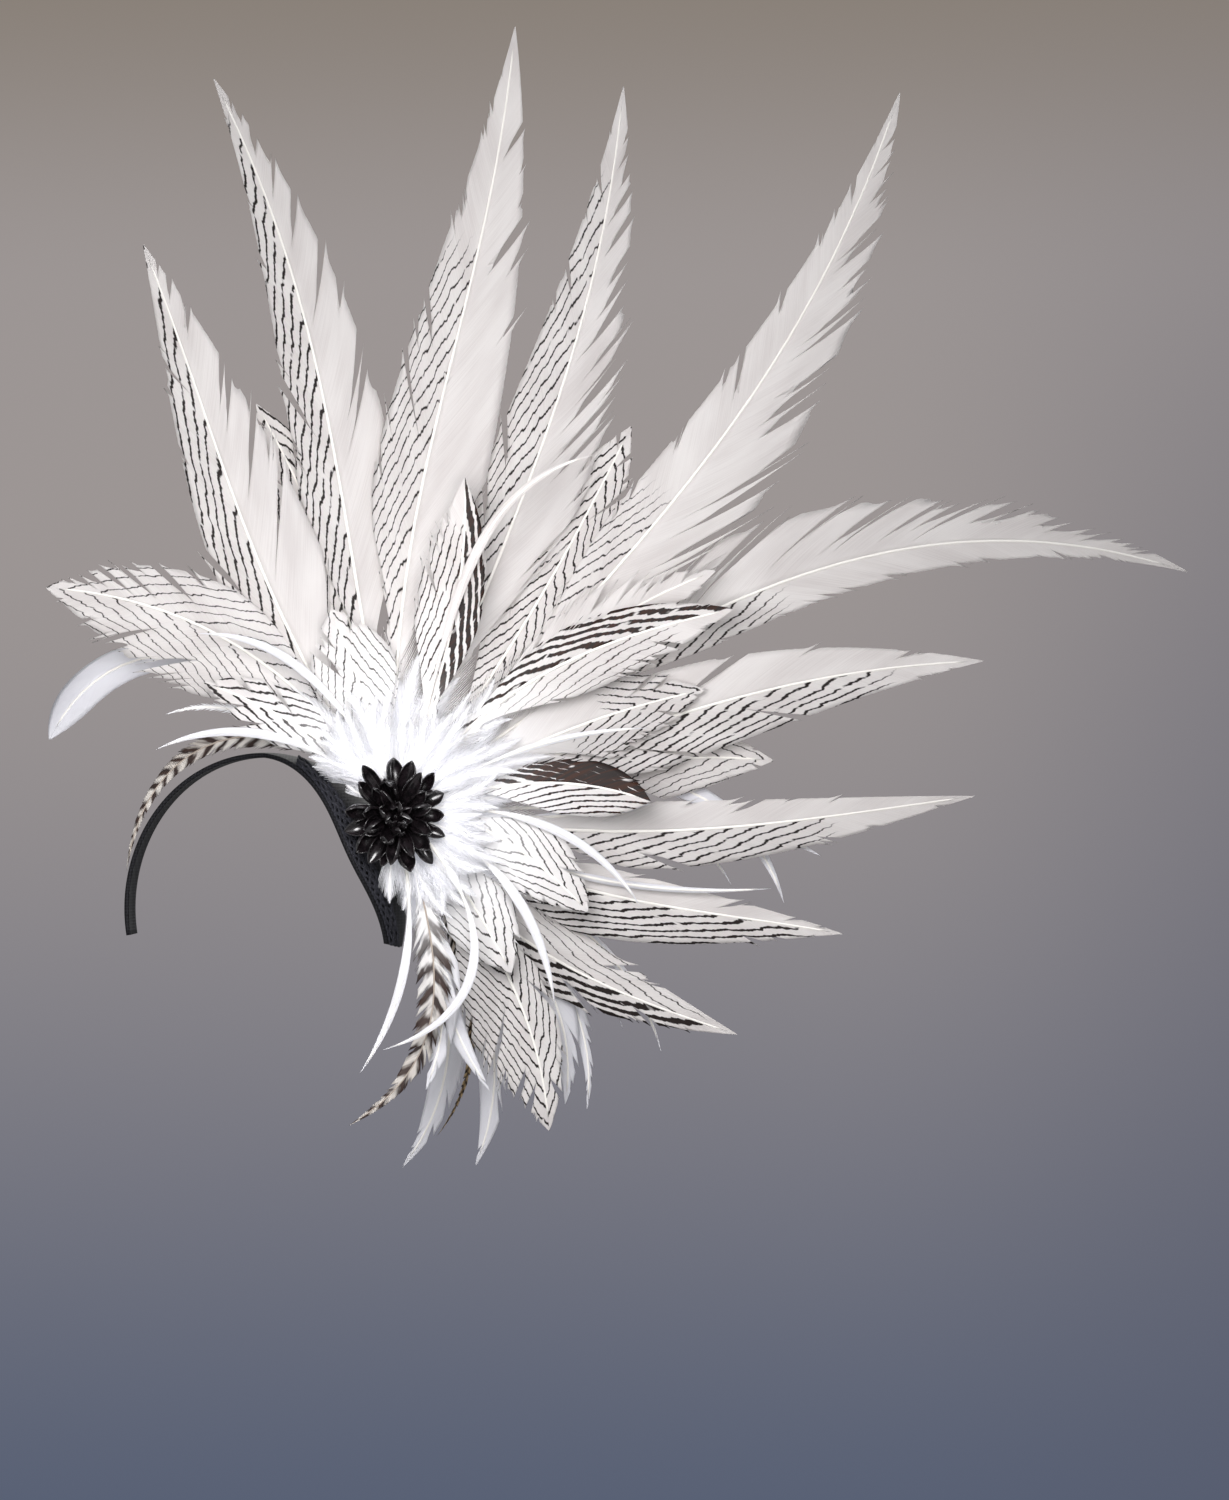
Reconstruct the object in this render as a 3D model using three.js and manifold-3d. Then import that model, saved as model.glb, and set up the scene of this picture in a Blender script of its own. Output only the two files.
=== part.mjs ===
// A feathered headdress: a black band over the crown flares out above the wearer's left ear, and carries a round
// core with a fan of barred white feathers, curved blades, hackles and a dark flower.
// Millimetres, +Z up. The wearer faces -Y, and +X is the wearer's left. The origin is on the crown of the head,
// where the band's inner face rests. Angles in the fan are seen from the front: 0 is +X and 90 is +Z.
import * as THREE from "three";
import Module from "manifold-3d";
import { mergeVertices } from "three/addons/utils/BufferGeometryUtils.js";

const wasm = await Module();
wasm.setup();

// The head that the band is made for, as an ellipsoid whose top is the origin.
const HEAD_HALF_WIDTH = 77;
const HEAD_HALF_DEPTH = 95;
const HEAD_HALF_HEIGHT = 85;

// The band. Angles over the head are measured from the crown towards the wearer's left ear.
const BAND_THICKNESS = 2.5;
const BAND_WIDTH = 20;
const BAND_RIGHT_END_DEG = -100;
const BAND_LEFT_END_DEG = 104;
const BAND_YAW_DEG = 10.3;
const BAND_SECTIONS = 30;
const FLARE_FROM_DEG = 0;
const FLARE_TO_DEG = 116;
const FLARE_DEG = 29;

// The braid along the flare's front edge.
const BRAID_WIDTH = 14;
const BRAID_THICKNESS = 2;
const BRAID_RELIEF = 0.9;
const BRAID_PITCH_DEG = 5;
const BRAID_FROM_DEG = 14;

// Clearance between pieces that are sewn or glued together.
const SEAT_GAP = 0.3;

// The core that the quills are fixed round, and the layers of the fan, counted from the back.
const FAN_OVER_DEG = 55.5;
const FAN_STANDOFF = 14.6;
const FAN_X = (HEAD_HALF_WIDTH + FAN_STANDOFF) * Math.sin(THREE.MathUtils.degToRad(FAN_OVER_DEG));
const FAN_Z = (HEAD_HALF_HEIGHT + FAN_STANDOFF) * Math.cos(THREE.MathUtils.degToRad(FAN_OVER_DEG)) - HEAD_HALF_HEIGHT;
const REAR_LAYER_Y = -31;
const LAYER_PITCH = 2.7;
const LAYERS = 14;
const REAR_LEAN = 0.22;
const FRONT_LEAN = -0.12;
const CORE_RADIUS = 15;
const CORE_SIDES = 24;
const FOOT_RADIUS = 11;
const FOOT_FORWARD_DEG = 12;

// Feathers. A layer leans back or forward with the distance from the core, and a vane arches back at its edges.
const QUILL_DIAMETER = 2.2;
const TIP_QUILL_SHARE = 0.45;
const VANE_THICKNESS = 0.7;
const CAMBER_SHARE = 0.3;
const TAIL_REACH = 490;
const TAIL_WIDTH = 64;
const BODY_REACH = 230;
const BODY_WIDTH = 58;
const BLADE_REACH = 220;
const BLADE_WIDTH = 16;
const HACKLE_REACH = 185;
const HACKLE_WIDTH = 20;
const CURL_FROM = 180;
const CURL_DEPTH = 60;

// The ruffs of down behind the flower. They leave the side of the face free.
const RUFF_REACH = 74;
const RUFF_RING = 7;
const RUFF_THICKNESS = 1.4;
const RUFF_LOCKS = 26;
const RUFF_FROM_DEG = -92;
const RUFF_TO_DEG = 156;
const RUFF_REAR_LAYER = 7;
const RUFF_FRONT_LAYER = 12;

// The flower: rings of pointed, hollow petals on small discs, and a bud.
const FLOWER_DROP = 4;
const FLOWER_RADIUS = 33;
const FLOWER_DISC_RADIUS = 10;
const FLOWER_DISC_THICKNESS = 2.4;
const PETAL_WIDTH = 11.5;
const PETAL_THICKNESS = 1.2;
const BUD_RADIUS = 5;

const rad = THREE.MathUtils.degToRad;
const lerp = THREE.MathUtils.lerp;
const smooth = (x) => THREE.MathUtils.smoothstep(x, 0, 1);

function material(color, roughness, metalness = 0) {
  return new THREE.MeshStandardMaterial({ color, roughness, metalness });
}
const BLACK_CLOTH = material(0x141416, 0.85);
const BLACK_BRAID = material(0x1b1b1e, 0.7);
const BLACK_PETAL = material(0x0e0d0f, 0.3);
const BARRED_FEATHER = material(0xe4dfda, 0.6);
const BROWN_FEATHER = material(0xb5a89c, 0.6);
const WHITE_FEATHER = material(0xf4f3f4, 0.6);
const BANDED_HACKLE = material(0x8d8078, 0.6);
const WHITE_DOWN = material(0xf8f7f8, 0.9);

// Named columns for a table whose rows are plain lists.
function rowsOf(columns, rows) {
  const names = columns.split(" ");
  return rows.map((row) => Object.fromEntries(names.map((name, i) => [name, row[i]])));
}

const COLUMNS = "name layer root bearing tip reach width left bow curl";
// root, bearing and tip are degrees: where the quill starts, where the tip lies, and which way the tip points.
// reach and width are shares of the family's sizes, left is the share of the width on the left of the quill,
// bow is how far the curve keeps its end directions, and curl is a share of CURL_DEPTH, positive towards the back.
const TAILS = rowsOf(COLUMNS, [
  ["tail_feather_1", 4, 126, 114.5, 112, 0.71, 0.95, 0.42, 0.38, 0.3],
  ["tail_feather_2", 3, 102, 104.5, 117, 0.87, 0.86, 0.42, 0.38, 0.5],
  ["tail_feather_3", 4, 93, 81.6, 85, 0.904, 0.98, 0.45, 0.38, -0.4],
  ["tail_feather_4", 3, 69, 72.9, 85, 0.87, 0.90, 0.45, 0.38, 0.2],
  ["tail_feather_5", 4, 48, 55.1, 72, 1.0, 0.98, 0.36, 0.38, -0.3],
  ["tail_feather_6", 3, 36, 16.6, -18, 0.95, 0.84, 0.66, 0.38, 0.6],
  ["tail_feather_7", 4, 18, 14.1, 2, 0.69, 0.82, 0.50, 0.38, 0.3],
  ["tail_feather_8", 3, -10, 1.2, 8, 0.66, 0.59, 0.44, 0.38, 0.5],
  ["tail_feather_9", 4, -30, -15.8, -10, 0.527, 0.62, 0.38, 0.38, 0.2],
  ["tail_feather_10", 3, -54, -33.8, -18, 0.465, 0.64, 0.52, 0.38, 0.4],
]);
const BODIES = rowsOf(COLUMNS, [
  ["crest_feather_1", 5, 126, 148.0, 176, 1.01, 1.08, 0.58, 0.38, 0],
  ["crest_feather_2", 5, -54, -65.0, -86, 0.863, 0.88, 0.34, 0.38, 0],
  ["inner_feather_1", 9, 72, 78.5, 92, 0.815, 0.64, 0.60, 0.38, 0],
  ["inner_feather_2", 8, 52, 30.7, 12, 0.944, 0.66, 0.46, 0.38, 0],
  ["inner_feather_3", 9, 14, 1.6, -20, 0.611, 0.55, 0.45, 0.38, 0],
  ["inner_feather_4", 8, 106, 108.4, 112, 0.508, 0.86, 0.52, 0.38, 0],
  ["inner_feather_5", 9, -8, -28.4, -46, 0.523, 0.69, 0.50, 0.38, 0],
  ["inner_feather_6", 8, -48, -55.3, -62, 0.483, 0.69, 0.50, 0.38, 0],
  ["inner_feather_7", 8, 136, 146.9, 160, 0.558, 0.55, 0.50, 0.38, 0],
  ["inner_feather_8", 2, 10, 7.2, -6, 0.918, 0.79, 0.50, 0.38, 0],
  ["inner_feather_9", 5, 26, 21.2, 12, 0.796, 0.79, 0.50, 0.38, 0],
  ["inner_feather_10", 2, 54, 58.8, 64, 1.09, 0.90, 0.55, 0.38, 0],
  ["inner_feather_11", 2, 104, 109.6, 120, 1.047, 0.76, 0.50, 0.38, 0],
  ["inner_feather_12", 6, 44, 36.8, 20, 0.96, 0.72, 0.50, 0.38, 0],
]);
const BLADES = rowsOf(COLUMNS, [
  ["blade_1", 10, 140, 166.3, 206, 0.625, 0.45, 0.5, 0.38, 0],
  ["blade_2", 0, 126, 169.1, 244, 0.913, 0.95, 0.5, 0.48, 0],
  ["blade_3", 10, 2, -21.8, -58, 0.658, 0.45, 0.5, 0.38, 0],
  ["blade_4", 11, -24, -51.1, -82, 0.632, 0.5, 0.5, 0.38, 0],
  ["blade_5", 13, -80, -97.9, -124, 0.67, 0.45, 0.5, 0.38, 0],
  ["blade_6", 13, -46, -93.4, -164, 0.605, 0.55, 0.5, 0.54, 0],
  ["blade_7", 10, 72, 60.6, 12, 1.022, 0.9, 0.5, 0.38, 0],
  ["blade_8", 1, 18, -14.1, -74, 1.01, 0.7, 0.5, 0.42, 0],
  ["blade_9", 10, 28, 17.9, 2, 0.66, 0.3, 0.5, 0.38, 0],
  ["blade_10", 10, 116, 138.9, 182, 0.669, 0.45, 0.5, 0.38, 0],
  ["blade_11", 1, -72, -89.7, -128, 0.917, 0.8, 0.5, 0.38, 0],
  ["blade_12", 0, -62, -78.2, -112, 0.935, 0.9, 0.5, 0.38, 0],
  ["blade_13", 10, -72, -84.2, -112, 0.711, 1.0, 0.5, 0.38, 0],
  ["blade_14", 9, -76, -71.8, -56, 0.75, 0.6, 0.5, 0.38, 0],
  ["blade_15", 1, -42, -58.3, -98, 0.905, 0.45, 0.5, 0.38, 0],
  ["blade_16", 2, -46, -60.9, -100, 0.864, 1.0, 0.5, 0.38, 0],
  ["blade_17", 5, -24, -12.1, 4, 0.968, 0.35, 0.5, 0.38, 0],
  ["rear_blade_1", 2, -8, -6.6, -30, 1.082, 0.6, 0.5, 0.38, 0],
  ["rear_blade_2", 0, -2, -13.2, -62, 0.868, 0.5, 0.5, 0.38, 0],
  ["rear_blade_3", 0, -34, -43.2, -76, 0.914, 0.45, 0.5, 0.38, 0],
  ["rear_blade_4", 1, -30, -44.7, -70, 0.8, 0.4, 0.5, 0.38, 0],
  ["rear_blade_5", 2, 146, 158.3, 200, 0.641, 0.5, 0.5, 0.38, 0],
]);
const HACKLES = rowsOf(COLUMNS, [
  ["hackle_1", 1, 138, 193.2, 263, 0.849, 0.6, 0.5, 0.54, 0],
  ["hackle_2", 11, -73, -98.7, -150, 0.957, 1.0, 0.5, 0.44, 0],
  ["hackle_3", 2, -66, -83.6, -128, 1.0, 0.25, 0.5, 0.38, 0],
]);

// Each family's real reach and width, the bare share of its quill, where it is widest, how bluntly it closes,
// and how many sections a feather is lofted through.
const FAMILIES = [
  { rows: TAILS, reach: TAIL_REACH, width: TAIL_WIDTH, bare: 0.10, widest: 0.40, taper: 1.8, sections: 12 },
  { rows: BODIES, reach: BODY_REACH, width: BODY_WIDTH, bare: 0.12, widest: 0.58, taper: 2.3, sections: 10 },
  { rows: BLADES, reach: BLADE_REACH, width: BLADE_WIDTH, bare: 0.10, widest: 0.55, taper: 2.0, sections: 8 },
  { rows: HACKLES, reach: HACKLE_REACH, width: HACKLE_WIDTH, bare: 0.06, widest: 0.35, taper: 1.4, sections: 10 },
];
const BROWN_NAMES = ["inner_feather_1", "inner_feather_2", "inner_feather_3"];
const WHITE_NAMES = ["inner_feather_12"];

// A closed body through rings of equal length. A ring of one point closes an end, and any other end gets a cap.
function loft(rings) {
  const positions = [];
  const starts = rings.map((ring) => {
    const start = positions.length / 3;
    ring.forEach((p) => positions.push(p.x, p.y, p.z));
    return start;
  });
  const index = [];
  for (let k = 0; k + 1 < rings.length; k++) {
    const [a, b] = [starts[k], starts[k + 1]];
    const [na, nb] = [rings[k].length, rings[k + 1].length];
    for (let i = 0; i < Math.max(na, nb); i++) {
      const j = (i + 1) % Math.max(na, nb);
      if (nb === 1) index.push(a + i, a + j, b);
      else if (na === 1) index.push(a, b + j, b + i);
      else index.push(a + i, a + j, b + j, a + i, b + j, b + i);
    }
  }
  const [first, last] = [rings[0], rings[rings.length - 1]];
  for (let i = 1; i + 1 < first.length; i++) index.push(starts[0], starts[0] + i + 1, starts[0] + i);
  const end = starts[rings.length - 1];
  for (let i = 1; i + 1 < last.length; i++) index.push(end, end + i, end + i + 1);
  const geometry = new THREE.BufferGeometry();
  geometry.setAttribute("position", new THREE.Float32BufferAttribute(positions, 3));
  geometry.setIndex(index);
  return facingOut(geometry);
}

// Turns the faces round when the enclosed volume comes out negative.
function facingOut(geometry) {
  const p = geometry.getAttribute("position");
  const index = geometry.getIndex().array;
  const [a, b, c] = [new THREE.Vector3(), new THREE.Vector3(), new THREE.Vector3()];
  let volume = 0;
  for (let i = 0; i < index.length; i += 3) {
    a.fromBufferAttribute(p, index[i]);
    b.fromBufferAttribute(p, index[i + 1]);
    c.fromBufferAttribute(p, index[i + 2]);
    volume += a.dot(b.cross(c));
  }
  if (volume < 0) {
    for (let i = 0; i < index.length; i += 3) [index[i + 1], index[i + 2]] = [index[i + 2], index[i + 1]];
  }
  geometry.computeVertexNormals();
  return geometry;
}

function solidOf(geometry) {
  const bare = geometry.clone();
  bare.deleteAttribute("normal");
  bare.deleteAttribute("uv");
  const merged = mergeVertices(bare, 1e-4);
  const vertProperties = merged.getAttribute("position").array;
  return new wasm.Manifold(new wasm.Mesh({ numProp: 3, vertProperties, triVerts: merged.getIndex().array }));
}

function geometryOf(solid) {
  const made = solid.getMesh();
  const geometry = new THREE.BufferGeometry();
  geometry.setAttribute("position", new THREE.Float32BufferAttribute(made.vertProperties, 3));
  geometry.setIndex(Array.from(made.triVerts));
  geometry.computeVertexNormals();
  return geometry;
}

// A point over the head: angles across the head and forward, and a distance outside its surface.
function overHead(acrossDeg, forwardDeg, outside) {
  const [across, forward] = [rad(acrossDeg), rad(forwardDeg)];
  return new THREE.Vector3(
    (HEAD_HALF_WIDTH + outside) * Math.sin(across) * Math.cos(forward),
    -(HEAD_HALF_DEPTH + outside) * Math.sin(forward),
    -HEAD_HALF_HEIGHT + (HEAD_HALF_HEIGHT + outside) * Math.cos(across) * Math.cos(forward),
  );
}

const forwardAngle = (length) => THREE.MathUtils.radToDeg(length / HEAD_HALF_DEPTH);

function bandEdges(acrossDeg) {
  const middle = BAND_YAW_DEG * Math.sin(rad(acrossDeg));
  const half = forwardAngle(BAND_WIDTH / 2);
  const along = (acrossDeg - FLARE_FROM_DEG) / (FLARE_TO_DEG - FLARE_FROM_DEG);
  const flare = along > 0 && along < 1 ? FLARE_DEG * Math.sin(Math.PI * along) : 0;
  return { rear: middle - half, front: middle + half + flare };
}

// The band and its flare are one shell that lies on the head.
function headband() {
  const ACROSS = [0, 1 / 3, 2 / 3, 1];
  const rings = [];
  for (let i = 0; i <= BAND_SECTIONS; i++) {
    const at = lerp(BAND_RIGHT_END_DEG, BAND_LEFT_END_DEG, i / BAND_SECTIONS);
    const { rear, front } = bandEdges(at);
    const outer = ACROSS.map((share) => overHead(at, lerp(rear, front, share), BAND_THICKNESS));
    const inner = ACROSS.map((share) => overHead(at, lerp(rear, front, share), 0)).reverse();
    rings.push([...outer, ...inner]);
  }
  return loft(rings);
}

// The braid is a strip with raised plaits and scalloped edges.
function braid() {
  const steps = 2 * Math.round((BAND_LEFT_END_DEG - BRAID_FROM_DEG) / BRAID_PITCH_DEG);
  const seat = BAND_THICKNESS + 2 * SEAT_GAP;
  const rings = [];
  for (let i = 0; i <= steps; i++) {
    const at = lerp(BRAID_FROM_DEG, BAND_LEFT_END_DEG, i / steps);
    const raised = i % 2;
    const scallop = forwardAngle(BRAID_RELIEF) * raised;
    const front = bandEdges(at).front - forwardAngle(BRAID_RELIEF) + scallop;
    const rear = front - forwardAngle(BRAID_WIDTH) - scallop;
    const top = seat + BRAID_THICKNESS + BRAID_RELIEF * raised;
    rings.push([
      overHead(at, rear, seat),
      overHead(at, rear, lerp(seat, top, 0.6)),
      overHead(at, lerp(rear, front, 0.28), top),
      overHead(at, lerp(rear, front, 0.5), top - BRAID_RELIEF),
      overHead(at, lerp(rear, front, 0.72), top),
      overHead(at, front, lerp(seat, top, 0.6)),
      overHead(at, front, seat),
      overHead(at, lerp(rear, front, 0.5), seat),
    ]);
  }
  return loft(rings);
}

const coreFrontY = REAR_LAYER_Y - (LAYERS - 1) * LAYER_PITCH - QUILL_DIAMETER;
const coreRearY = REAR_LAYER_Y + QUILL_DIAMETER + SEAT_GAP;

// The core with its foot, which sits on the flare.
function fanCore() {
  const length = coreRearY - coreFrontY;
  const drum = new THREE.CylinderGeometry(CORE_RADIUS, CORE_RADIUS, length, CORE_SIDES);
  drum.translate(FAN_X, (coreRearY + coreFrontY) / 2, FAN_Z);
  const seat = BAND_THICKNESS + 2 * SEAT_GAP;
  const seatRing = [];
  const drumRing = [];
  const inside = CORE_RADIUS - 2;
  for (let i = 0; i < 12; i++) {
    const turn = (i / 12) * 2 * Math.PI;
    const across = FAN_OVER_DEG + forwardAngle(FOOT_RADIUS) * Math.cos(turn) * (HEAD_HALF_DEPTH / HEAD_HALF_WIDTH);
    seatRing.push(overHead(across, FOOT_FORWARD_DEG + forwardAngle(FOOT_RADIUS) * Math.sin(turn), seat));
    const rim = new THREE.Vector3(Math.cos(turn), 0, -Math.sin(turn)).applyAxisAngle(
      new THREE.Vector3(0, 1, 0),
      rad(FAN_OVER_DEG - 90),
    );
    drumRing.push(new THREE.Vector3(FAN_X + inside * rim.x, coreRearY - 1, FAN_Z + inside * rim.z));
  }
  const centre = overHead(FAN_OVER_DEG, FOOT_FORWARD_DEG, seat);
  const foot = loft([[centre], seatRing, drumRing]);
  return geometryOf(solidOf(drum).add(solidOf(foot)));
}

// Depth of a layer at a distance from the core's axis, and the room between two layers there.
const leanStep = (FRONT_LEAN - REAR_LEAN) / (LAYERS - 1);
const layerY = (layer, reach) => REAR_LAYER_Y - layer * LAYER_PITCH + reach * (REAR_LEAN + layer * leanStep);
const layerRoom = (reach) => LAYER_PITCH - reach * leanStep;

function fanPoint(layer, x, z, back) {
  return new THREE.Vector3(FAN_X + x, layerY(layer, Math.hypot(x, z)) + back, FAN_Z + z);
}

const ray = (deg, length) => new THREE.Vector2(Math.cos(rad(deg)), Math.sin(rad(deg))).multiplyScalar(length);

// The quill's line in the fan's plane.
function quillLine(row, family) {
  const start = ray(row.root, CORE_RADIUS + SEAT_GAP);
  const end = ray(row.bearing, row.reach * family.reach);
  const hold = start.distanceTo(end) * row.bow;
  const nearStart = start.clone().add(ray(row.root, hold));
  const nearEnd = end.clone().sub(ray(row.tip, hold));
  return new THREE.CubicBezierCurve(start, nearStart, nearEnd, end);
}

// The vane's half width as a share, along the feather.
function vaneShare(along, family) {
  if (along < family.widest) return smooth((along - family.bare) / (family.widest - family.bare));
  return 1 - ((along - family.widest) / (1 - family.widest)) ** family.taper;
}

// A feather: eight points round each section, with the quill as a ridge on both faces, closed in a point.
function feather(row, family) {
  const line = quillLine(row, family);
  const width = row.width * family.width;
  const rings = [];
  for (let i = 0; i < family.sections; i++) {
    const along = (i / family.sections) ** 0.9;
    const at = line.getPoint(along);
    const ahead = line.getTangent(along);
    const quill = (QUILL_DIAMETER / 2) * lerp(1, TIP_QUILL_SHARE, along);
    const share = vaneShare(along, family);
    const left = Math.max(share * width * row.left, quill);
    const right = Math.max(share * width * (1 - row.left), quill);
    const room = layerRoom(at.length());
    const curl = row.curl * CURL_DEPTH * Math.max(0, (at.length() - CURL_FROM) / (TAIL_REACH - CURL_FROM)) ** 2;
    const place = (across, front) => {
      const x = at.x - ahead.y * across;
      const z = at.y + ahead.x * across;
      const arch = CAMBER_SHARE * room * (across / (width / 2)) ** 2;
      return fanPoint(row.layer, x, z, curl + arch - front);
    };
    const vane = Math.min(VANE_THICKNESS / 2, quill * 0.7);
    rings.push([
      place(left, 0),
      place(left * 0.5, vane),
      place(0, quill),
      place(-right * 0.5, vane),
      place(-right, 0),
      place(-right * 0.5, -vane),
      place(0, -quill),
      place(left * 0.5, -vane),
    ]);
  }
  const tip = line.getPoint(1);
  const tipCurl = row.curl * CURL_DEPTH * Math.max(0, (tip.length() - CURL_FROM) / (TAIL_REACH - CURL_FROM)) ** 2;
  rings.push([fanPoint(row.layer, tip.x, tip.y, tipCurl)]);
  return loft(rings);
}

// A ruff of down: pointed locks on a part ring round the core.
function downRuff(layer) {
  const half = RUFF_THICKNESS / 2;
  const inner = CORE_RADIUS + SEAT_GAP;
  const outer = inner + RUFF_RING;
  const positions = [];
  const add = (x, z, back) => {
    const p = fanPoint(layer, x, z, back);
    positions.push(p.x, p.y, p.z);
    return positions.length / 3 - 1;
  };
  const pair = (deg, reach) => {
    const at = ray(deg, reach);
    return [add(at.x, at.y, -half), add(at.x, at.y, half)];
  };
  const step = (RUFF_TO_DEG - RUFF_FROM_DEG) / RUFF_LOCKS;
  const index = [];
  const quad = (a, b, c, d) => index.push(a, b, c, a, c, d);
  let [root, valley] = [pair(RUFF_FROM_DEG, inner), pair(RUFF_FROM_DEG, outer)];
  quad(root[0], valley[0], valley[1], root[1]);
  for (let i = 0; i < RUFF_LOCKS; i++) {
    const deg = RUFF_FROM_DEG + i * step;
    const reach = RUFF_REACH * (0.82 + 0.18 * Math.sin(i * 2.4));
    const peak = ray(deg + step / 2, reach);
    const tip = add(peak.x, peak.y, 0);
    const nextRoot = pair(deg + step, inner);
    const nextValley = pair(deg + step, outer);
    quad(root[0], nextRoot[0], nextValley[0], valley[0]);
    quad(root[1], valley[1], nextValley[1], nextRoot[1]);
    quad(root[0], root[1], nextRoot[1], nextRoot[0]);
    index.push(valley[0], nextValley[0], tip, valley[1], tip, nextValley[1]);
    index.push(valley[0], tip, valley[1], nextValley[1], tip, nextValley[0]);
    [root, valley] = [nextRoot, nextValley];
  }
  quad(root[0], root[1], valley[1], valley[0]);
  const geometry = new THREE.BufferGeometry();
  geometry.setAttribute("position", new THREE.Float32BufferAttribute(positions, 3));
  geometry.setIndex(index);
  return facingOut(geometry);
}

// One petal, from near its disc's rim outwards: a pointed scoop with a keel, raised by its lean.
function petal(turnDeg, leanDeg, foot, reach, width) {
  const STATIONS = [
    { along: 0.3, wide: 0.65, keel: 0.5 },
    { along: 0.6, wide: 1.0, keel: 1.0 },
    { along: 0.85, wide: 0.6, keel: 0.5 },
  ];
  const depth = width * 0.28;
  const length = (reach - foot) / Math.cos(rad(leanDeg * 0.7));
  const place = (along, across, up) =>
    new THREE.Vector3(along, up, across)
      .applyAxisAngle(new THREE.Vector3(0, 0, 1), rad(leanDeg))
      .add(new THREE.Vector3(foot, 0, 0))
      .applyAxisAngle(new THREE.Vector3(0, 1, 0), rad(turnDeg));
  const curlIn = (along) => width * 0.3 * along ** 2;
  const rings = STATIONS.map(({ along, wide, keel }) => {
    const half = (wide * width) / 2;
    const edge = curlIn(along);
    const low = edge - depth * keel;
    return [
      place(along * length, half, edge),
      place(along * length, 0, low + PETAL_THICKNESS),
      place(along * length, -half, edge),
      place(along * length, 0, low),
    ];
  });
  return loft([[place(0, 0, 0)], ...rings, [place(length, 0, curlIn(1))]]);
}

// The flower's tiers stack on each other along the core's axis, from the core forward.
const TIERS = [
  { name: "flower_petals_outer", disc: 1.0, count: 13, reach: 1.0, width: 1.0, lean: 16, turn: 0 },
  { name: "flower_petals_middle", disc: 0.8, count: 11, reach: 0.8, width: 0.9, lean: 36, turn: 9 },
  { name: "flower_petals_inner", disc: 0.6, count: 8, reach: 0.56, width: 0.8, lean: 58, turn: 20 },
];
const TIER_PITCH = FLOWER_DISC_THICKNESS + SEAT_GAP;

function inFrontOfCore(geometry, forward) {
  geometry.rotateX(Math.PI);
  geometry.translate(FAN_X, coreFrontY - SEAT_GAP - forward, FAN_Z - FLOWER_DROP);
  return geometry;
}

function petalTier(tier) {
  const radius = FLOWER_DISC_RADIUS * tier.disc;
  const disc = new THREE.CylinderGeometry(radius, radius, FLOWER_DISC_THICKNESS, 16);
  disc.translate(0, FLOWER_DISC_THICKNESS / 2, 0);
  let solid = solidOf(disc);
  for (let i = 0; i < tier.count; i++) {
    const turn = tier.turn + (i * 360) / tier.count;
    const one = petal(turn, tier.lean, radius * 0.85, FLOWER_RADIUS * tier.reach, PETAL_WIDTH * tier.width);
    solid = solid.add(solidOf(one.translate(0, FLOWER_DISC_THICKNESS * 0.5, 0)));
  }
  return geometryOf(solid);
}

function bud() {
  const OUTLINE = [[0, 0], [0.72, 0], [1.0, 0.6], [0.85, 1.5], [0.45, 2.2], [0, 2.5]];
  const profile = OUTLINE.map(([out, up]) => new THREE.Vector2(out * BUD_RADIUS, up * BUD_RADIUS));
  return facingOut(mergedPositions(new THREE.LatheGeometry(profile, 10)));
}

function mergedPositions(geometry) {
  geometry.deleteAttribute("normal");
  geometry.deleteAttribute("uv");
  return mergeVertices(geometry, 1e-4);
}

const headdress = new THREE.Group();
function addPiece(name, geometry, finish) {
  const mesh = new THREE.Mesh(geometry, finish);
  mesh.name = name;
  headdress.add(mesh);
}

function finishOf(name, family) {
  if (family.rows === HACKLES) return BANDED_HACKLE;
  if (family.rows === BLADES || WHITE_NAMES.includes(name)) return WHITE_FEATHER;
  return BROWN_NAMES.includes(name) ? BROWN_FEATHER : BARRED_FEATHER;
}

addPiece("headband", headband(), BLACK_CLOTH);
addPiece("braid_trim", braid(), BLACK_BRAID);
addPiece("fan_core", fanCore(), BLACK_CLOTH);
for (const family of FAMILIES) {
  for (const row of family.rows) addPiece(row.name, feather(row, family), finishOf(row.name, family));
}
addPiece("down_ruff_rear", downRuff(RUFF_REAR_LAYER), WHITE_DOWN);
addPiece("down_ruff_front", downRuff(RUFF_FRONT_LAYER), WHITE_DOWN);
TIERS.forEach((tier, i) => addPiece(tier.name, inFrontOfCore(petalTier(tier), i * TIER_PITCH), BLACK_PETAL));
addPiece("flower_bud", inFrontOfCore(bud(), TIERS.length * TIER_PITCH), BLACK_PETAL);

export default headdress;
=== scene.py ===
# %% [markdown]
# # A feathered headdress
# A black band goes over the crown of the head and flares out above the wearer's left ear. On the flare
# stands a round core, and round the core is a fan: long barred tail feathers at the back, shorter barred
# body feathers in the middle, thin curved blades in front, and soft down round a dark glossy flower. This
# lesson dresses the plain solids of the CAD model. Every feather is rebuilt from tufts of barbs, in the
# place that its solid holds.

# %% Load the frame
import math
import random
from bisect import bisect_left

import bmesh
import bpy
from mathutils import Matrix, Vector, geometry


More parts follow.
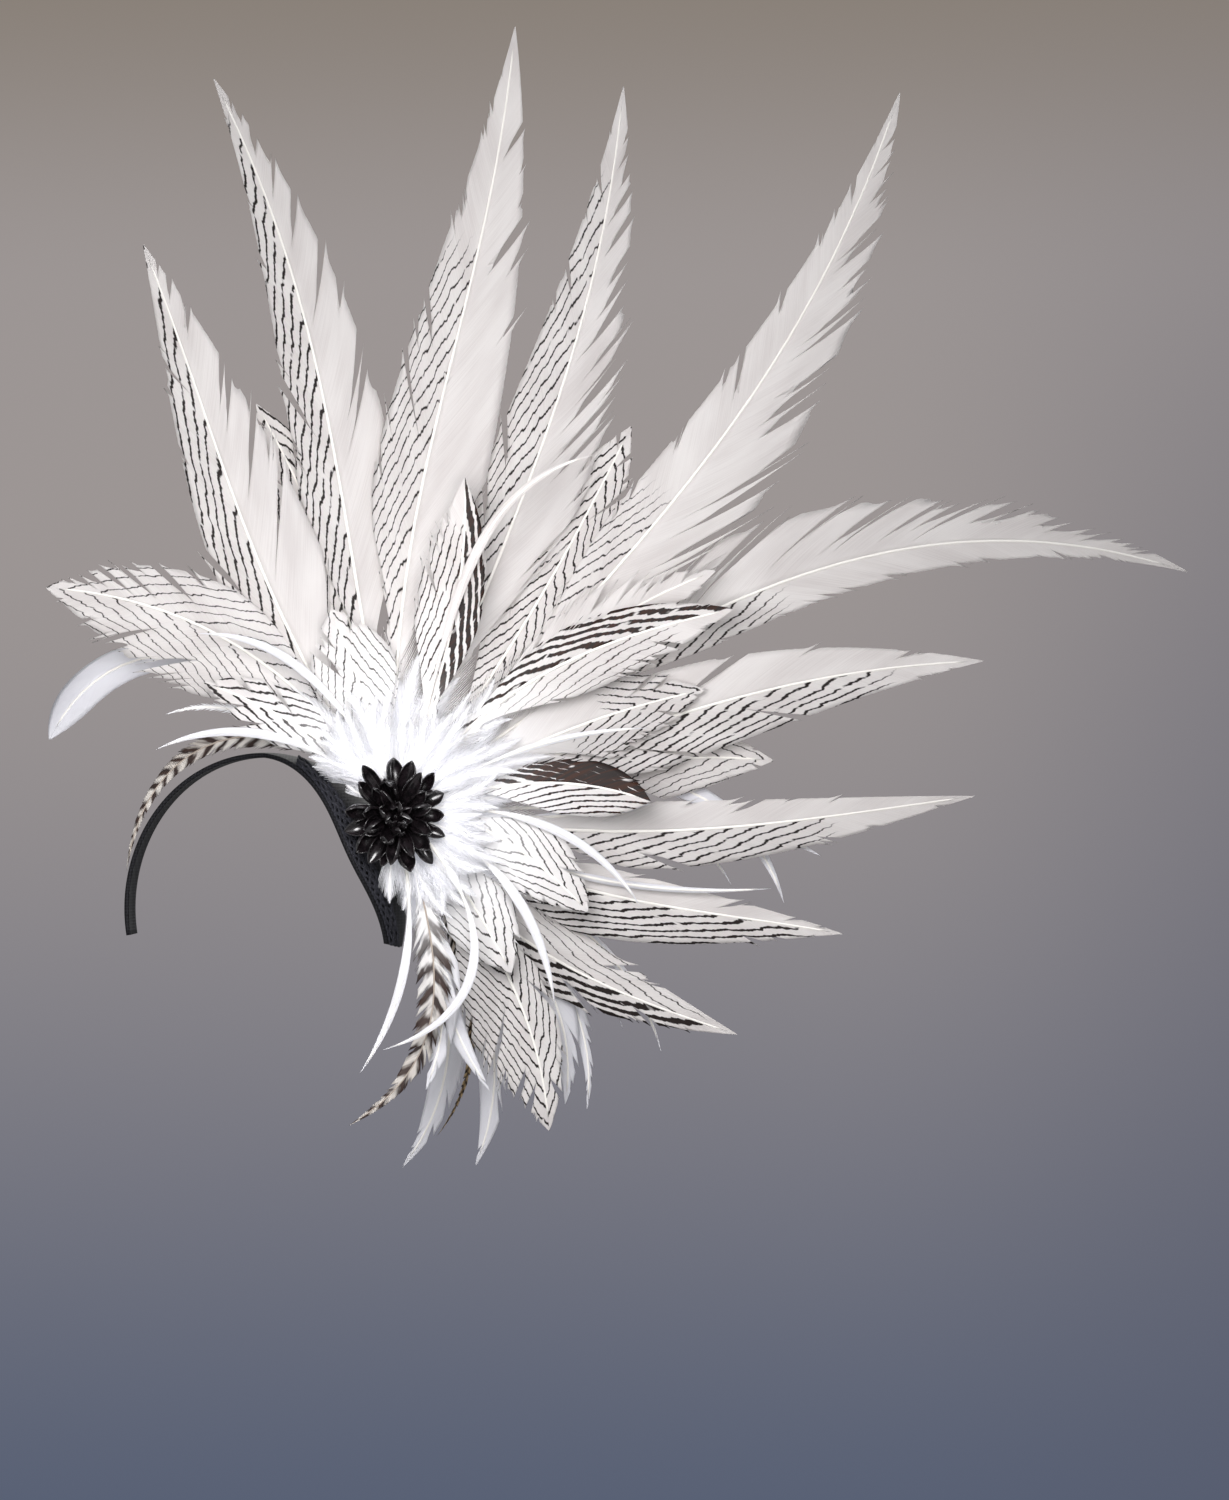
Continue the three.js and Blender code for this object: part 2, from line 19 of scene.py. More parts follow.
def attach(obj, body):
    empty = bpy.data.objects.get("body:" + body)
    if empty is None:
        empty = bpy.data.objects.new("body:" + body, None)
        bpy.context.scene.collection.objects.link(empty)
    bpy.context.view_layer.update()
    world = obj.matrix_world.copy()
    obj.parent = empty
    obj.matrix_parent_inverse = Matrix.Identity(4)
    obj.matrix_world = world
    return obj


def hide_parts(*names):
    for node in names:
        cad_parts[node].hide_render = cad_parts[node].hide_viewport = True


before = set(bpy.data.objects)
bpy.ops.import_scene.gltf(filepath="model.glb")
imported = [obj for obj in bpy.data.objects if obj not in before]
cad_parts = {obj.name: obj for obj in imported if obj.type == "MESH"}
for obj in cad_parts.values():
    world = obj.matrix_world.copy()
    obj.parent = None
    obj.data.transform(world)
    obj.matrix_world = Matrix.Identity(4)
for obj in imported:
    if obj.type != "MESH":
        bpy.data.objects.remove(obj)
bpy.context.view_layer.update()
MM = 0.001

# %% [markdown]
# ## Camera, lamps and backdrop
# The camera looks level along +Y, as the photograph was taken, from so far away that the front and the back
# of the fan have nearly the same scale. White feathers need light that comes from one side, or their splits
# and barbs vanish, and in the photograph they are brightest round the flower. One sun would be simpler, but
# it lights the tips as much as the middle. So a small lamp stands close in front of the flower, and its
# light falls off towards the tips. A large high lamp at the right lights the long feathers, a weak one at
# the left opens the shadows, and one behind shines through the vanes and shows the back. The backdrop is
# only a colour of the world, warm grey above and blue grey below, so it hides nothing from behind.

# %% Camera
CAMERA_DISTANCE = 5.0
VIEW_CENTRE = (0.1957, 0.0039)
VIEW_HEIGHT = 0.84
SENSOR = 24.0

lens = bpy.data.cameras.new("camera")
lens.sensor_fit = "VERTICAL"
lens.sensor_height = SENSOR
lens.lens = SENSOR * CAMERA_DISTANCE / VIEW_HEIGHT
camera = bpy.data.objects.new("camera", lens)
camera.location = (VIEW_CENTRE[0], -CAMERA_DISTANCE, VIEW_CENTRE[1])
camera.rotation_euler = (math.pi / 2, 0, 0)
bpy.context.collection.objects.link(camera)
bpy.context.scene.camera = camera
bpy.context.scene.view_settings.view_transform = "Standard"
print("lens:", round(lens.lens), "mm at", CAMERA_DISTANCE, "m")


# %% Lamps
def lamp(name, place, target, size, watts, colour):
    light = bpy.data.lights.new(name, "AREA")
    light.shape = "DISK"
    light.size = size
    light.energy = watts
    light.color = colour
    one = bpy.data.objects.new(name, light)
    one.location = place
    one.rotation_euler = (Vector(target) - Vector(place)).to_track_quat("-Z", "Y").to_euler()
    bpy.context.collection.objects.link(one)


FLOWER_AT = (0.075, -0.09, -0.033)
lamp("key_lamp", (0.06, -0.60, 0.09), FLOWER_AT, 0.32, 3.9, (1.0, 0.985, 0.99))
lamp("left_lamp", (-1.0, -0.85, 0.85), FLOWER_AT, 0.7, 1.4, (1.0, 0.99, 0.98))
lamp("right_lamp", (1.15, -1.0, 1.6), FLOWER_AT, 1.2, 6.6, (0.98, 0.97, 1.0))
lamp("back_lamp", (0.5, 2.2, 1.2), FLOWER_AT, 1.6, 26.0, (1.0, 0.99, 0.97))
print("lamps:", [light.name for light in bpy.data.lights])

# %% [markdown]
# ## Shader sums as plain Python
# A pattern such as a feather's bars is a sum of lines, noise and steps. Each of its Math nodes could be
# added and linked by hand, but then the formula can no longer be read. So a small class wraps a socket and
# lets Python's own operators add the nodes, and one more method adds a node of any other type.

# %% A socket that can be added and multiplied
class Wire:
    def __init__(self, finish, socket):
        self.finish = finish
        self.socket = socket

    def math_node(self, operation, *others):
        return self.finish.node("ShaderNodeMath", {"operation": operation}, dict(enumerate((self, *others))))

    def __add__(self, other):
        return self.math_node("ADD", other)

    def __sub__(self, other):
        return self.math_node("SUBTRACT", other)

    def __rsub__(self, other):
        return self.finish.node("ShaderNodeMath", {"operation": "SUBTRACT"}, {0: other, 1: self})

    def __mul__(self, other):
        return self.math_node("MULTIPLY", other)

    __radd__ = __add__
    __rmul__ = __mul__

    def ramp(self, low, high):
        """0 below low and 1 above high, with a smooth step between them; low may be the larger one."""
        return self.finish.node("ShaderNodeMapRange", {"interpolation_type": "SMOOTHSTEP"},
                                {"Value": self, "From Min": low, "From Max": high})

    def from_line(self):
        """The distance to the nearest whole number plus a half: 0 on a line, 0.5 between two lines."""
        return (self.math_node("FRACT") - 0.5).math_node("ABSOLUTE")

    def parts(self):
        """The three numbers of a vector."""
        split = self.finish.node("ShaderNodeSeparateXYZ", {}, {"Vector": self}).socket.node
        return [Wire(self.finish, out) for out in split.outputs]


# %% A material, or the world, while its nodes are added
# The Mix node's colour sockets go by number, because their names are used twice.
MIX_SHARE, MIX_FIRST, MIX_SECOND, MIX_RESULT = 0, 6, 7, 2


class Finish:
    def __init__(self, owner):
        owner.use_nodes = True
        self.owner = owner
        self.tree = owner.node_tree
        self.tree.nodes.clear()

    def node(self, kind, settings, sockets, output=0):
        made = self.tree.nodes.new(kind)
        for name, value in settings.items():
            setattr(made, name, value)
        for name, value in sockets.items():
            if isinstance(value, Wire):
                self.tree.links.new(value.socket, made.inputs[name])
            else:
                made.inputs[name].default_value = value
        return Wire(self, made.outputs[output]) if made.outputs else made

    def attribute(self, name):
        return self.node("ShaderNodeAttribute", {"attribute_name": name}, {}, "Vector")

    def place(self):
        return self.node("ShaderNodeTexCoord", {}, {}, "Object")

    def stretched(self, vector, scale):
        return self.node("ShaderNodeMapping", {}, {"Vector": vector, "Scale": scale})

    def noise(self, vector, scale, detail=2.0, roughness=0.5):
        sockets = {"Vector": vector, "Scale": scale, "Detail": detail, "Roughness": roughness}
        return self.node("ShaderNodeTexNoise", {}, sockets)

    def blend(self, share, first, second):
        colours = {key: value if isinstance(value, Wire) else (*value, 1.0)
                   for key, value in ((MIX_FIRST, first), (MIX_SECOND, second))}
        return self.node("ShaderNodeMix", {"data_type": "RGBA"}, {MIX_SHARE: share, **colours}, MIX_RESULT)

    def bump(self, height, strength, distance):
        return self.node("ShaderNodeBump", {}, {"Height": height, "Strength": strength, "Distance": distance})

    def surface(self, shader):
        self.node("ShaderNodeOutputMaterial", {}, {"Surface": shader})
        return self.owner


def finish_named(name):
    return Finish(bpy.data.materials.new(name))


# %% The backdrop
LOW_BLUE, MIDDLE_GREY, TOP_GREY = (0.090, 0.112, 0.172), (0.335, 0.304, 0.298), (0.246, 0.212, 0.182)
RIGHT_BLUE = (0.090, 0.100, 0.145)
FILL_WHITE, FILL_STRENGTH = (0.95, 0.97, 1.0, 1.0), 0.33
sky = Finish(bpy.data.worlds.new("studio"))
bpy.context.scene.world = sky.owner
aside, _, height = sky.node("ShaderNodeTexCoord", {}, {}, "Generated").parts()
backdrop = sky.blend(height.ramp(-0.10, 0.03), LOW_BLUE, MIDDLE_GREY)
backdrop = sky.blend(height.ramp(0.05, 0.092), backdrop, TOP_GREY)
backdrop = sky.blend(aside.ramp(0.02, 0.085) * height.ramp(0.11, 0.0) * 0.5, backdrop, RIGHT_BLUE)
seen = sky.node("ShaderNodeBackground", {}, {"Color": backdrop, "Strength": 1.0})
fill = sky.node("ShaderNodeBackground", {}, {"Color": FILL_WHITE, "Strength": FILL_STRENGTH})
to_eye = sky.node("ShaderNodeLightPath", {}, {}, "Is Camera Ray")
studio = sky.node("ShaderNodeMixShader", {}, {0: to_eye, 1: fill, 2: seen})
sky.node("ShaderNodeOutputWorld", {}, {"Surface": studio})
print("nodes of the backdrop:", len(sky.tree.nodes))

# %% The floor
FLOOR_Z = -0.95
FLOOR_RADIUS = 2.5
floor_mesh = bpy.data.meshes.new("floor")
bm = bmesh.new()
bmesh.ops.create_circle(bm, cap_ends=True, segments=96, radius=FLOOR_RADIUS)
bmesh.ops.translate(bm, verts=bm.verts, vec=(VIEW_CENTRE[0], 0, FLOOR_Z))
bm.to_mesh(floor_mesh)
bm.free()
floor = bpy.data.objects.new("floor", floor_mesh)
bpy.context.collection.objects.link(floor)
pale = finish_named("pale_floor")
speck = pale.noise(pale.place(), 9.0, 6.0)
pale_colour = pale.blend(speck.ramp(0.35, 0.65), (0.60, 0.59, 0.58), (0.62, 0.61, 0.60))
floor_mesh.materials.append(pale.surface(
    pale.node("ShaderNodeBsdfPrincipled", {}, {"Base Color": pale_colour, "Roughness": 0.7})))
print("floor:", FLOOR_Z, "m, below the picture")

# %% [markdown]
# ## The fan's own measure
# All feathers grow from the core, in layers one behind the other, so a point of the fan has three numbers:
# its layer, and its place in the plane as the wearer's front shows it. Layers could be flat, but then long
# feathers would lie in each other. So a layer leans, back at the rear and forward at the front, and layers
# part with the distance from the core. The sizes are those of the CAD model.

# %% Sizes that the CAD model has too
HEAD_HALF_WIDTH, HEAD_HALF_DEPTH, HEAD_HALF_HEIGHT = 77 * MM, 95 * MM, 85 * MM
FAN_OVER = math.radians(55.5)
FAN_STANDOFF = 14.6 * MM
FAN_X = (HEAD_HALF_WIDTH + FAN_STANDOFF) * math.sin(FAN_OVER)
FAN_Z = (HEAD_HALF_HEIGHT + FAN_STANDOFF) * math.cos(FAN_OVER) - HEAD_HALF_HEIGHT
REAR_LAYER_Y = -31 * MM
LAYER_PITCH = 2.7 * MM
LAYERS = 14
REAR_LEAN, FRONT_LEAN = 0.22, -0.12
CORE_RADIUS = 15 * MM
SEAT_GAP = 0.3 * MM
QUILL_RADIUS = 1.1 * MM
TIP_QUILL_SHARE = 0.45
CAMBER_SHARE = 0.3

FAMILIES = {
    "tail": {"reach": 490 * MM, "width": 64 * MM, "bare": 0.10, "widest": 0.40, "taper": 1.8},
    "body": {"reach": 230 * MM, "width": 58 * MM, "bare": 0.12, "widest": 0.58, "taper": 2.3},
    "blade": {"reach": 220 * MM, "width": 16 * MM, "bare": 0.10, "widest": 0.55, "taper": 2.0},
    "hackle": {"reach": 185 * MM, "width": 20 * MM, "bare": 0.06, "widest": 0.35, "taper": 1.4},
    "down": {"reach": 74 * MM, "width": 15 * MM, "bare": 0.02, "widest": 0.45, "taper": 1.6},
}
CURL_FROM, CURL_TO, CURL_DEPTH = 180 * MM, FAMILIES["tail"]["reach"], 60 * MM
print("fan centre in metres:", round(FAN_X, 4), round(FAN_Z, 4))


# %% Measures of the fan
def layer_depth(layer, reach):
    """How far forward or back a layer is at this distance from the fan's axis."""
    lean = REAR_LEAN + layer * (FRONT_LEAN - REAR_LEAN) / (LAYERS - 1)
    return REAR_LAYER_Y - layer * LAYER_PITCH + reach * lean


def ray(degrees, length):
    return Vector((math.cos(math.radians(degrees)), math.sin(math.radians(degrees)))) * length


def smooth(x):
    x = min(max(x, 0.0), 1.0)
    return x * x * (3 - 2 * x)


def blend(low, high, share):
    return low + (high - low) * share


# %% [markdown]
# ## One feather's line and outline
# A real feather has a quill that bends one way, and two vanes of unequal width. A curve object with a bevel
# could make the quill, but the barbs need to know where it is at every length. So the quill is a Bezier
# curve in the fan's plane, walked by its length, and the outline opens from the bare part of the quill to
# the widest place and then closes to the tip, as the CAD solid's does.

# %% The quill and what lies beside it
class Quill:
    SAMPLES = 96

    def __init__(self, family, layer, root, bearing, tip, reach, width, left, bow=0.38, curl=0.0):
        usual = FAMILIES[family]
        self.bare, self.widest, self.taper = usual["bare"], usual["widest"], usual["taper"]
        self.layer, self.curl = layer, curl
        self.sides = {1: width * usual["width"] * left, -1: width * usual["width"] * (1 - left)}
        self.half = width * usual["width"] / 2
        start, end = ray(root, CORE_RADIUS + SEAT_GAP), ray(bearing, reach * usual["reach"])
        hold = (end - start).length * bow
        knots = [Vector((*p, 0)) for p in (start, start + ray(root, hold), end - ray(tip, hold), end)]
        self.points = geometry.interpolate_bezier(*knots, self.SAMPLES)
        self.lengths = [0.0]
        for a, b in zip(self.points, self.points[1:]):
            self.lengths.append(self.lengths[-1] + (b - a).length)
        self.length = self.lengths[-1]

    def fit(self, look, offset):
        """Takes from a look what differs from the solid, and where in the noise this feather lies."""
        self.stoutness, self.offset = look.get("stout", 0.85), offset
        self.sides = {side: wide * look.get("slim", 1.0) for side, wide in self.sides.items()}
        self.widest, self.taper = look.get("widest", self.widest), look.get("taper", self.taper)

    def at(self, length):
        """Where the quill is at a length from its root, the way it goes, and its share of the curve."""
        i = min(max(bisect_left(self.lengths, length), 1), self.SAMPLES - 1)
        a, b = self.points[i - 1], self.points[i]
        along = (length - self.lengths[i - 1]) / (self.lengths[i] - self.lengths[i - 1])
        return a.lerp(b, along), (b - a).normalized(), (i - 1 + along) / (self.SAMPLES - 1)

    def reach_out(self, length, side):
        """How far the vane of one side reaches at this length."""
        share = self.at(length)[2]
        if share < self.widest:
            return self.sides[side] * smooth((share - self.bare) / (self.widest - self.bare))
        closed = ((min(share, 1.0) - self.widest) / (1 - self.widest)) ** self.taper
        return self.sides[side] * max(0.0, 1 - closed)

    def spot(self, length, across, back=0.0):
        """A point of the feather: across goes to the left of the quill, and back to the wearer's nape."""
        p, ahead, _ = self.at(length)
        x, z = p.x - ahead.y * across, p.y + ahead.x * across
        from_axis = math.hypot(p.x, p.y)
        room = LAYER_PITCH - from_axis * (FRONT_LEAN - REAR_LEAN) / (LAYERS - 1)
        arch = CAMBER_SHARE * room * (across / self.half) ** 2
        curled = self.curl * CURL_DEPTH * max(0.0, (from_axis - CURL_FROM) / (CURL_TO - CURL_FROM)) ** 2
        depth = layer_depth(self.layer, math.hypot(x, z))
        return Vector((FAN_X + x, depth + curled + arch + back, FAN_Z + z))


# %% [markdown]
# ## Tufts of barbs
# A vane is not a sheet: it is hundreds of barbs that hook together, sweep forward, and let go of each other
# in tufts. Hair could draw every barb, but it is no mesh, and a flat sheet with see-through notches looks
# cut with scissors. So each tuft is a small grid of its own. Its columns are barbs, and its rows run from
# the quill to the edge. Next to the quill neighbouring tufts share their borders, which are merged, and
# further out each tuft draws together to a point, which leaves the notches and splits of a worn feather.
# Each point also carries numbers for the finish: where it is on the vane, which bar of the pattern it is
# in, and how strong and brown that bar is.

# %% A grid that is laid by a rule
def laid_grid(bm, columns, rows, rule):
    """A grid of faces whose corners are put by rule(u, v), with u and v from 0 to 1."""
    made = bmesh.ops.create_grid(bm, x_segments=columns, y_segments=rows, size=0.5)["verts"]
    for vert in made:
        u, v = round((vert.co.x + 0.5) * columns) / columns, round((vert.co.y + 0.5) * rows) / rows
        vert.co = rule(vert, u, v)
    return made


def stored_numbers(bm):
    """The two attributes that the finishes read."""
    return bm.verts.layers.float_vector.new("vane"), bm.verts.layers.float_vector.new("mark")


# %% One vane, and where its barbs end
CHEVRON_TILT, CHEVRON_CURVE, SHIFT_BETWEEN_VANES = 1.1, 1.2, 0.3
FLUFF_FULL, FLUFF_FADE = 0.05, 0.2
BARS_FADE_IN, BARS_FADE_OUT = 0.08, 0.12
YOUNG_UNTIL, YOUNG_FADE = 0.25, 0.4
HALVINGS = 9


class Vane:
    """One side of a feather: how far its barbs reach, and how dark its bars are."""

    def __init__(self, quill, side, look):
        self.quill, self.side, self.look = quill, side, look
        self.strength, self.bar_from, self.bar_to, self.torn = look["left" if side > 0 else "right"]
        self.slope = 1 / math.tan(math.radians(look["barb_angle"]))
        self.step = look["pitch"] * math.hypot(1, look["chevron"] * CHEVRON_TILT)
        self.ends = {}

    def outline(self, length):
        """The reach of the vane here, or of the fluff that real feathers have below it."""
        share = self.quill.at(length)[2]
        left = 1 - smooth((share - self.quill.bare) / FLUFF_FADE)
        fluff = self.look["fluff"] * smooth(share / FLUFF_FULL) * left
        return max(self.quill.reach_out(length, self.side), fluff)

    def barb(self, root):
        """How far out the barb from this root ends: where its line crosses the outline, found by halving."""
        if root not in self.ends:
            low, high = 0.0, (self.quill.length - root) / self.slope
            for _ in range(HALVINGS):
                middle = (low + high) / 2
                inside = self.outline(root + middle * self.slope) > middle
                low, high = (middle, high) if inside else (low, middle)
            self.ends[root] = low
        return self.ends[root]

    def bar(self, share):
        """How much of a bar's step is dark, at this share of the feather's length."""
        shown = smooth((share - self.bar_from) / BARS_FADE_IN) * smooth((self.bar_to - share) / BARS_FADE_OUT)
        grown = smooth((share - YOUNG_UNTIL) / YOUNG_FADE)
        return self.strength * shown * blend(self.look.get("young", 1.0), 1.0, grown)

    def phase(self, along, reach):
        """Which bar this is, as a number that grows by one from bar to bar."""
        arch = self.look["chevron"] * self.quill.half * (reach / self.quill.half) ** CHEVRON_CURVE
        return (along + arch) / self.step + SHIFT_BETWEEN_VANES * self.side


# %% One tuft
# At a gap the tuft above gives way more than the one below, and its lowest barbs are broken short.
BARB_PITCH, MOST_BARBS = 2.0 * MM, 6
SHORTEST_OPENING = 0.08
UPPER_GIVES, LOWER_GIVES, MOST_GIVEN = 0.85, 0.25, 0.75
BROKEN_BY_GAP, MOST_BROKEN = 70, 0.6
TOP_BARB_LONGER = 0.12


def tuft(bm, numbers, vane, start, end, edges, bend, lift):
    """Lays a tuft. Each of its edges has the share of the barb where it comes free, and how wide it gapes."""
    on_vane, mark = numbers
    quill, look = vane.quill, vane.look
    (_, gap_below), (_, gap_above) = edges

    def rule(vert, u, v):
        root = blend(start, end, u)
        free_below, free_above = [smooth((v - opens) / max(1 - opens, SHORTEST_OPENING)) if v > opens else 0.0
                                  for opens, _ in edges]
        loose = blend(free_below, free_above, u)
        low = start + min(gap_below * UPPER_GIVES, (end - start) * MOST_GIVEN) * free_below
        high = end - gap_above * LOWER_GIVES * free_above
        broken = min(MOST_BROKEN, BROKEN_BY_GAP * gap_below) * free_below * (1 - u)
        longer = TOP_BARB_LONGER * free_above * u ** 3
        reach = vane.barb(root) * v * (1 + bend * loose - broken + longer)
        along = min(blend(low, high, u) + reach * vane.slope * (0.85 + 0.15 * v), quill.length)
        vert[on_vane] = (vane.side * reach / MM, root / MM + quill.offset, vane.phase(along, reach))
        vert[mark] = (vane.bar(along / quill.length), look["brown"], 0.0)
        return quill.spot(along, vane.side * reach, lift * loose * v)

    barbs = max(1, min(MOST_BARBS, round((end - start) / BARB_PITCH)))
    return laid_grid(bm, barbs, look["rows"], rule)


# %% All tufts of one vane
VANE_FROM, VANE_TO, WHOLE_TIP_FROM = 0.015, 0.996, 0.91
SHORTEST_TUFT = 1.2 * MM
DOWNY_BEYOND_BARE, DOWNY_TUFT, DOWNY_OPENINGS, DOWNY_GAP = 0.05, 0.35, (0.05, 0.4), 1.2 * MM
TIP_TUFT, TUFT_GROWTH = 0.3, 4
MOST_GAP, BENDS = 0.6, (-0.16, 0.07)
# Limits for the tuft's length, for where along its barbs it opens, and for its gap in millimetres.
TORN = ((1.2, 2.4), (0.15, 0.6), (2.5, 8.0))
NICKED = ((0.5, 1.2), (0.75, 0.95), (0.4, 1.4))
WHOLE_LENGTHS = (0.7, 1.3)


def next_border(look, torn, chance):
    """A tuft's length as a share of the usual, where along its barbs it opens (1 is nowhere), and its gap."""
    if chance.random() < torn:
        limits = TORN
    elif chance.random() < look["nicks"]:
        limits = NICKED
    else:
        return chance.uniform(*WHOLE_LENGTHS), 1.0, 0.0
    size, opens, gap = [chance.uniform(*pair) for pair in limits]
    return size, opens, gap * MM


def lay_vane(bm, numbers, quill, side, look, chance):
    """Lays tuft after tuft from the root to the tip, and returns their corners."""
    vane, made = Vane(quill, side, look), []
    place, stop, below = quill.length * VANE_FROM, quill.length * VANE_TO, (1.0, 0.0)
    while place < stop:
        share = place / quill.length
        size, opens, gap = next_border(look, vane.torn, chance)
        if share < quill.bare + DOWNY_BEYOND_BARE:
            size, opens, gap = DOWNY_TUFT, chance.uniform(*DOWNY_OPENINGS), DOWNY_GAP
        elif share > WHOLE_TIP_FROM:
            opens, gap = 1.0, 0.0
        long = look["tuft"] * size * min(1.0, TIP_TUFT + (1 - share) * TUFT_GROWTH)
        end = min(place + max(long, SHORTEST_TUFT), stop)
        above = (opens, min(gap, (end - place) * MOST_GAP))
        bend, lift = chance.uniform(*BENDS), chance.uniform(-1, 1) * look["lift"]
        made += tuft(bm, numbers, vane, place, end, (below, above), bend, lift)
        below, place = above, end
    return made


# %% The quill itself
QUILL_STEP, QUILL_SIDES, QUILL_TO = 9 * MM, 6, 0.975


def shaft(bm, numbers, quill):
    """A closed tube along the quill, with points at both ends."""
    on_vane, mark = numbers
    steps = max(8, int(quill.length / QUILL_STEP))

    def rule(vert, u, v):
        along = quill.length * u * QUILL_TO
        thick = QUILL_RADIUS * blend(1.0, TIP_QUILL_SHARE, u) * quill.stoutness * (0 < u < 1)
        turn = 2 * math.pi * v
        vert[on_vane] = (0, along / MM + quill.offset, 0)
        vert[mark] = (0, 0, 1)
        return quill.spot(along, math.cos(turn) * thick, math.sin(turn) * thick)

    return laid_grid(bm, steps, QUILL_SIDES, rule)


# %% [markdown]
# ## Which feather looks how
# The rows of the first table repeat the CAD model's: a feather's family, its layer, the way it leaves the
# core, the bearing of its tip and the way the tip points in degrees, its reach and width as shares of its
# family's, and the left vane's share of the width. Some rows add how stiff the curve is and how far the tip
# curls back.
#
# Looks could be drawn by chance, but then no feather would be the one in the photograph, so the second
# table has what a family shares, and the third what a single feather changes. For each vane there are four
# numbers: the dark share of a bar, where along the feather the bars start and stop, and how torn the edge
# is. Most tail feathers here carry bars on one vane only, as the outer tail feathers of a silver pheasant
# do. The other words are:
# - nicks: how often whole tufts part at the edge, and tuft: how long a tuft is,
# - barb_angle: how far the barbs stand off the quill, and lift: how far loose tufts rise,
# - rows: the faces of a tuft from quill to edge, and fluff: how far the down at the root reaches,
# - chevron and pitch: how steeply the bars sweep forward, and how far apart they are,
# - brown: how brown the dark of a bar is, and young: how strong bars are near the root,
# - slim and stout: shares of the vane's width and of the quill's thickness,
# - widest and taper: where the outline starts to close, and how roundly,
# - finish: a finish of another family.

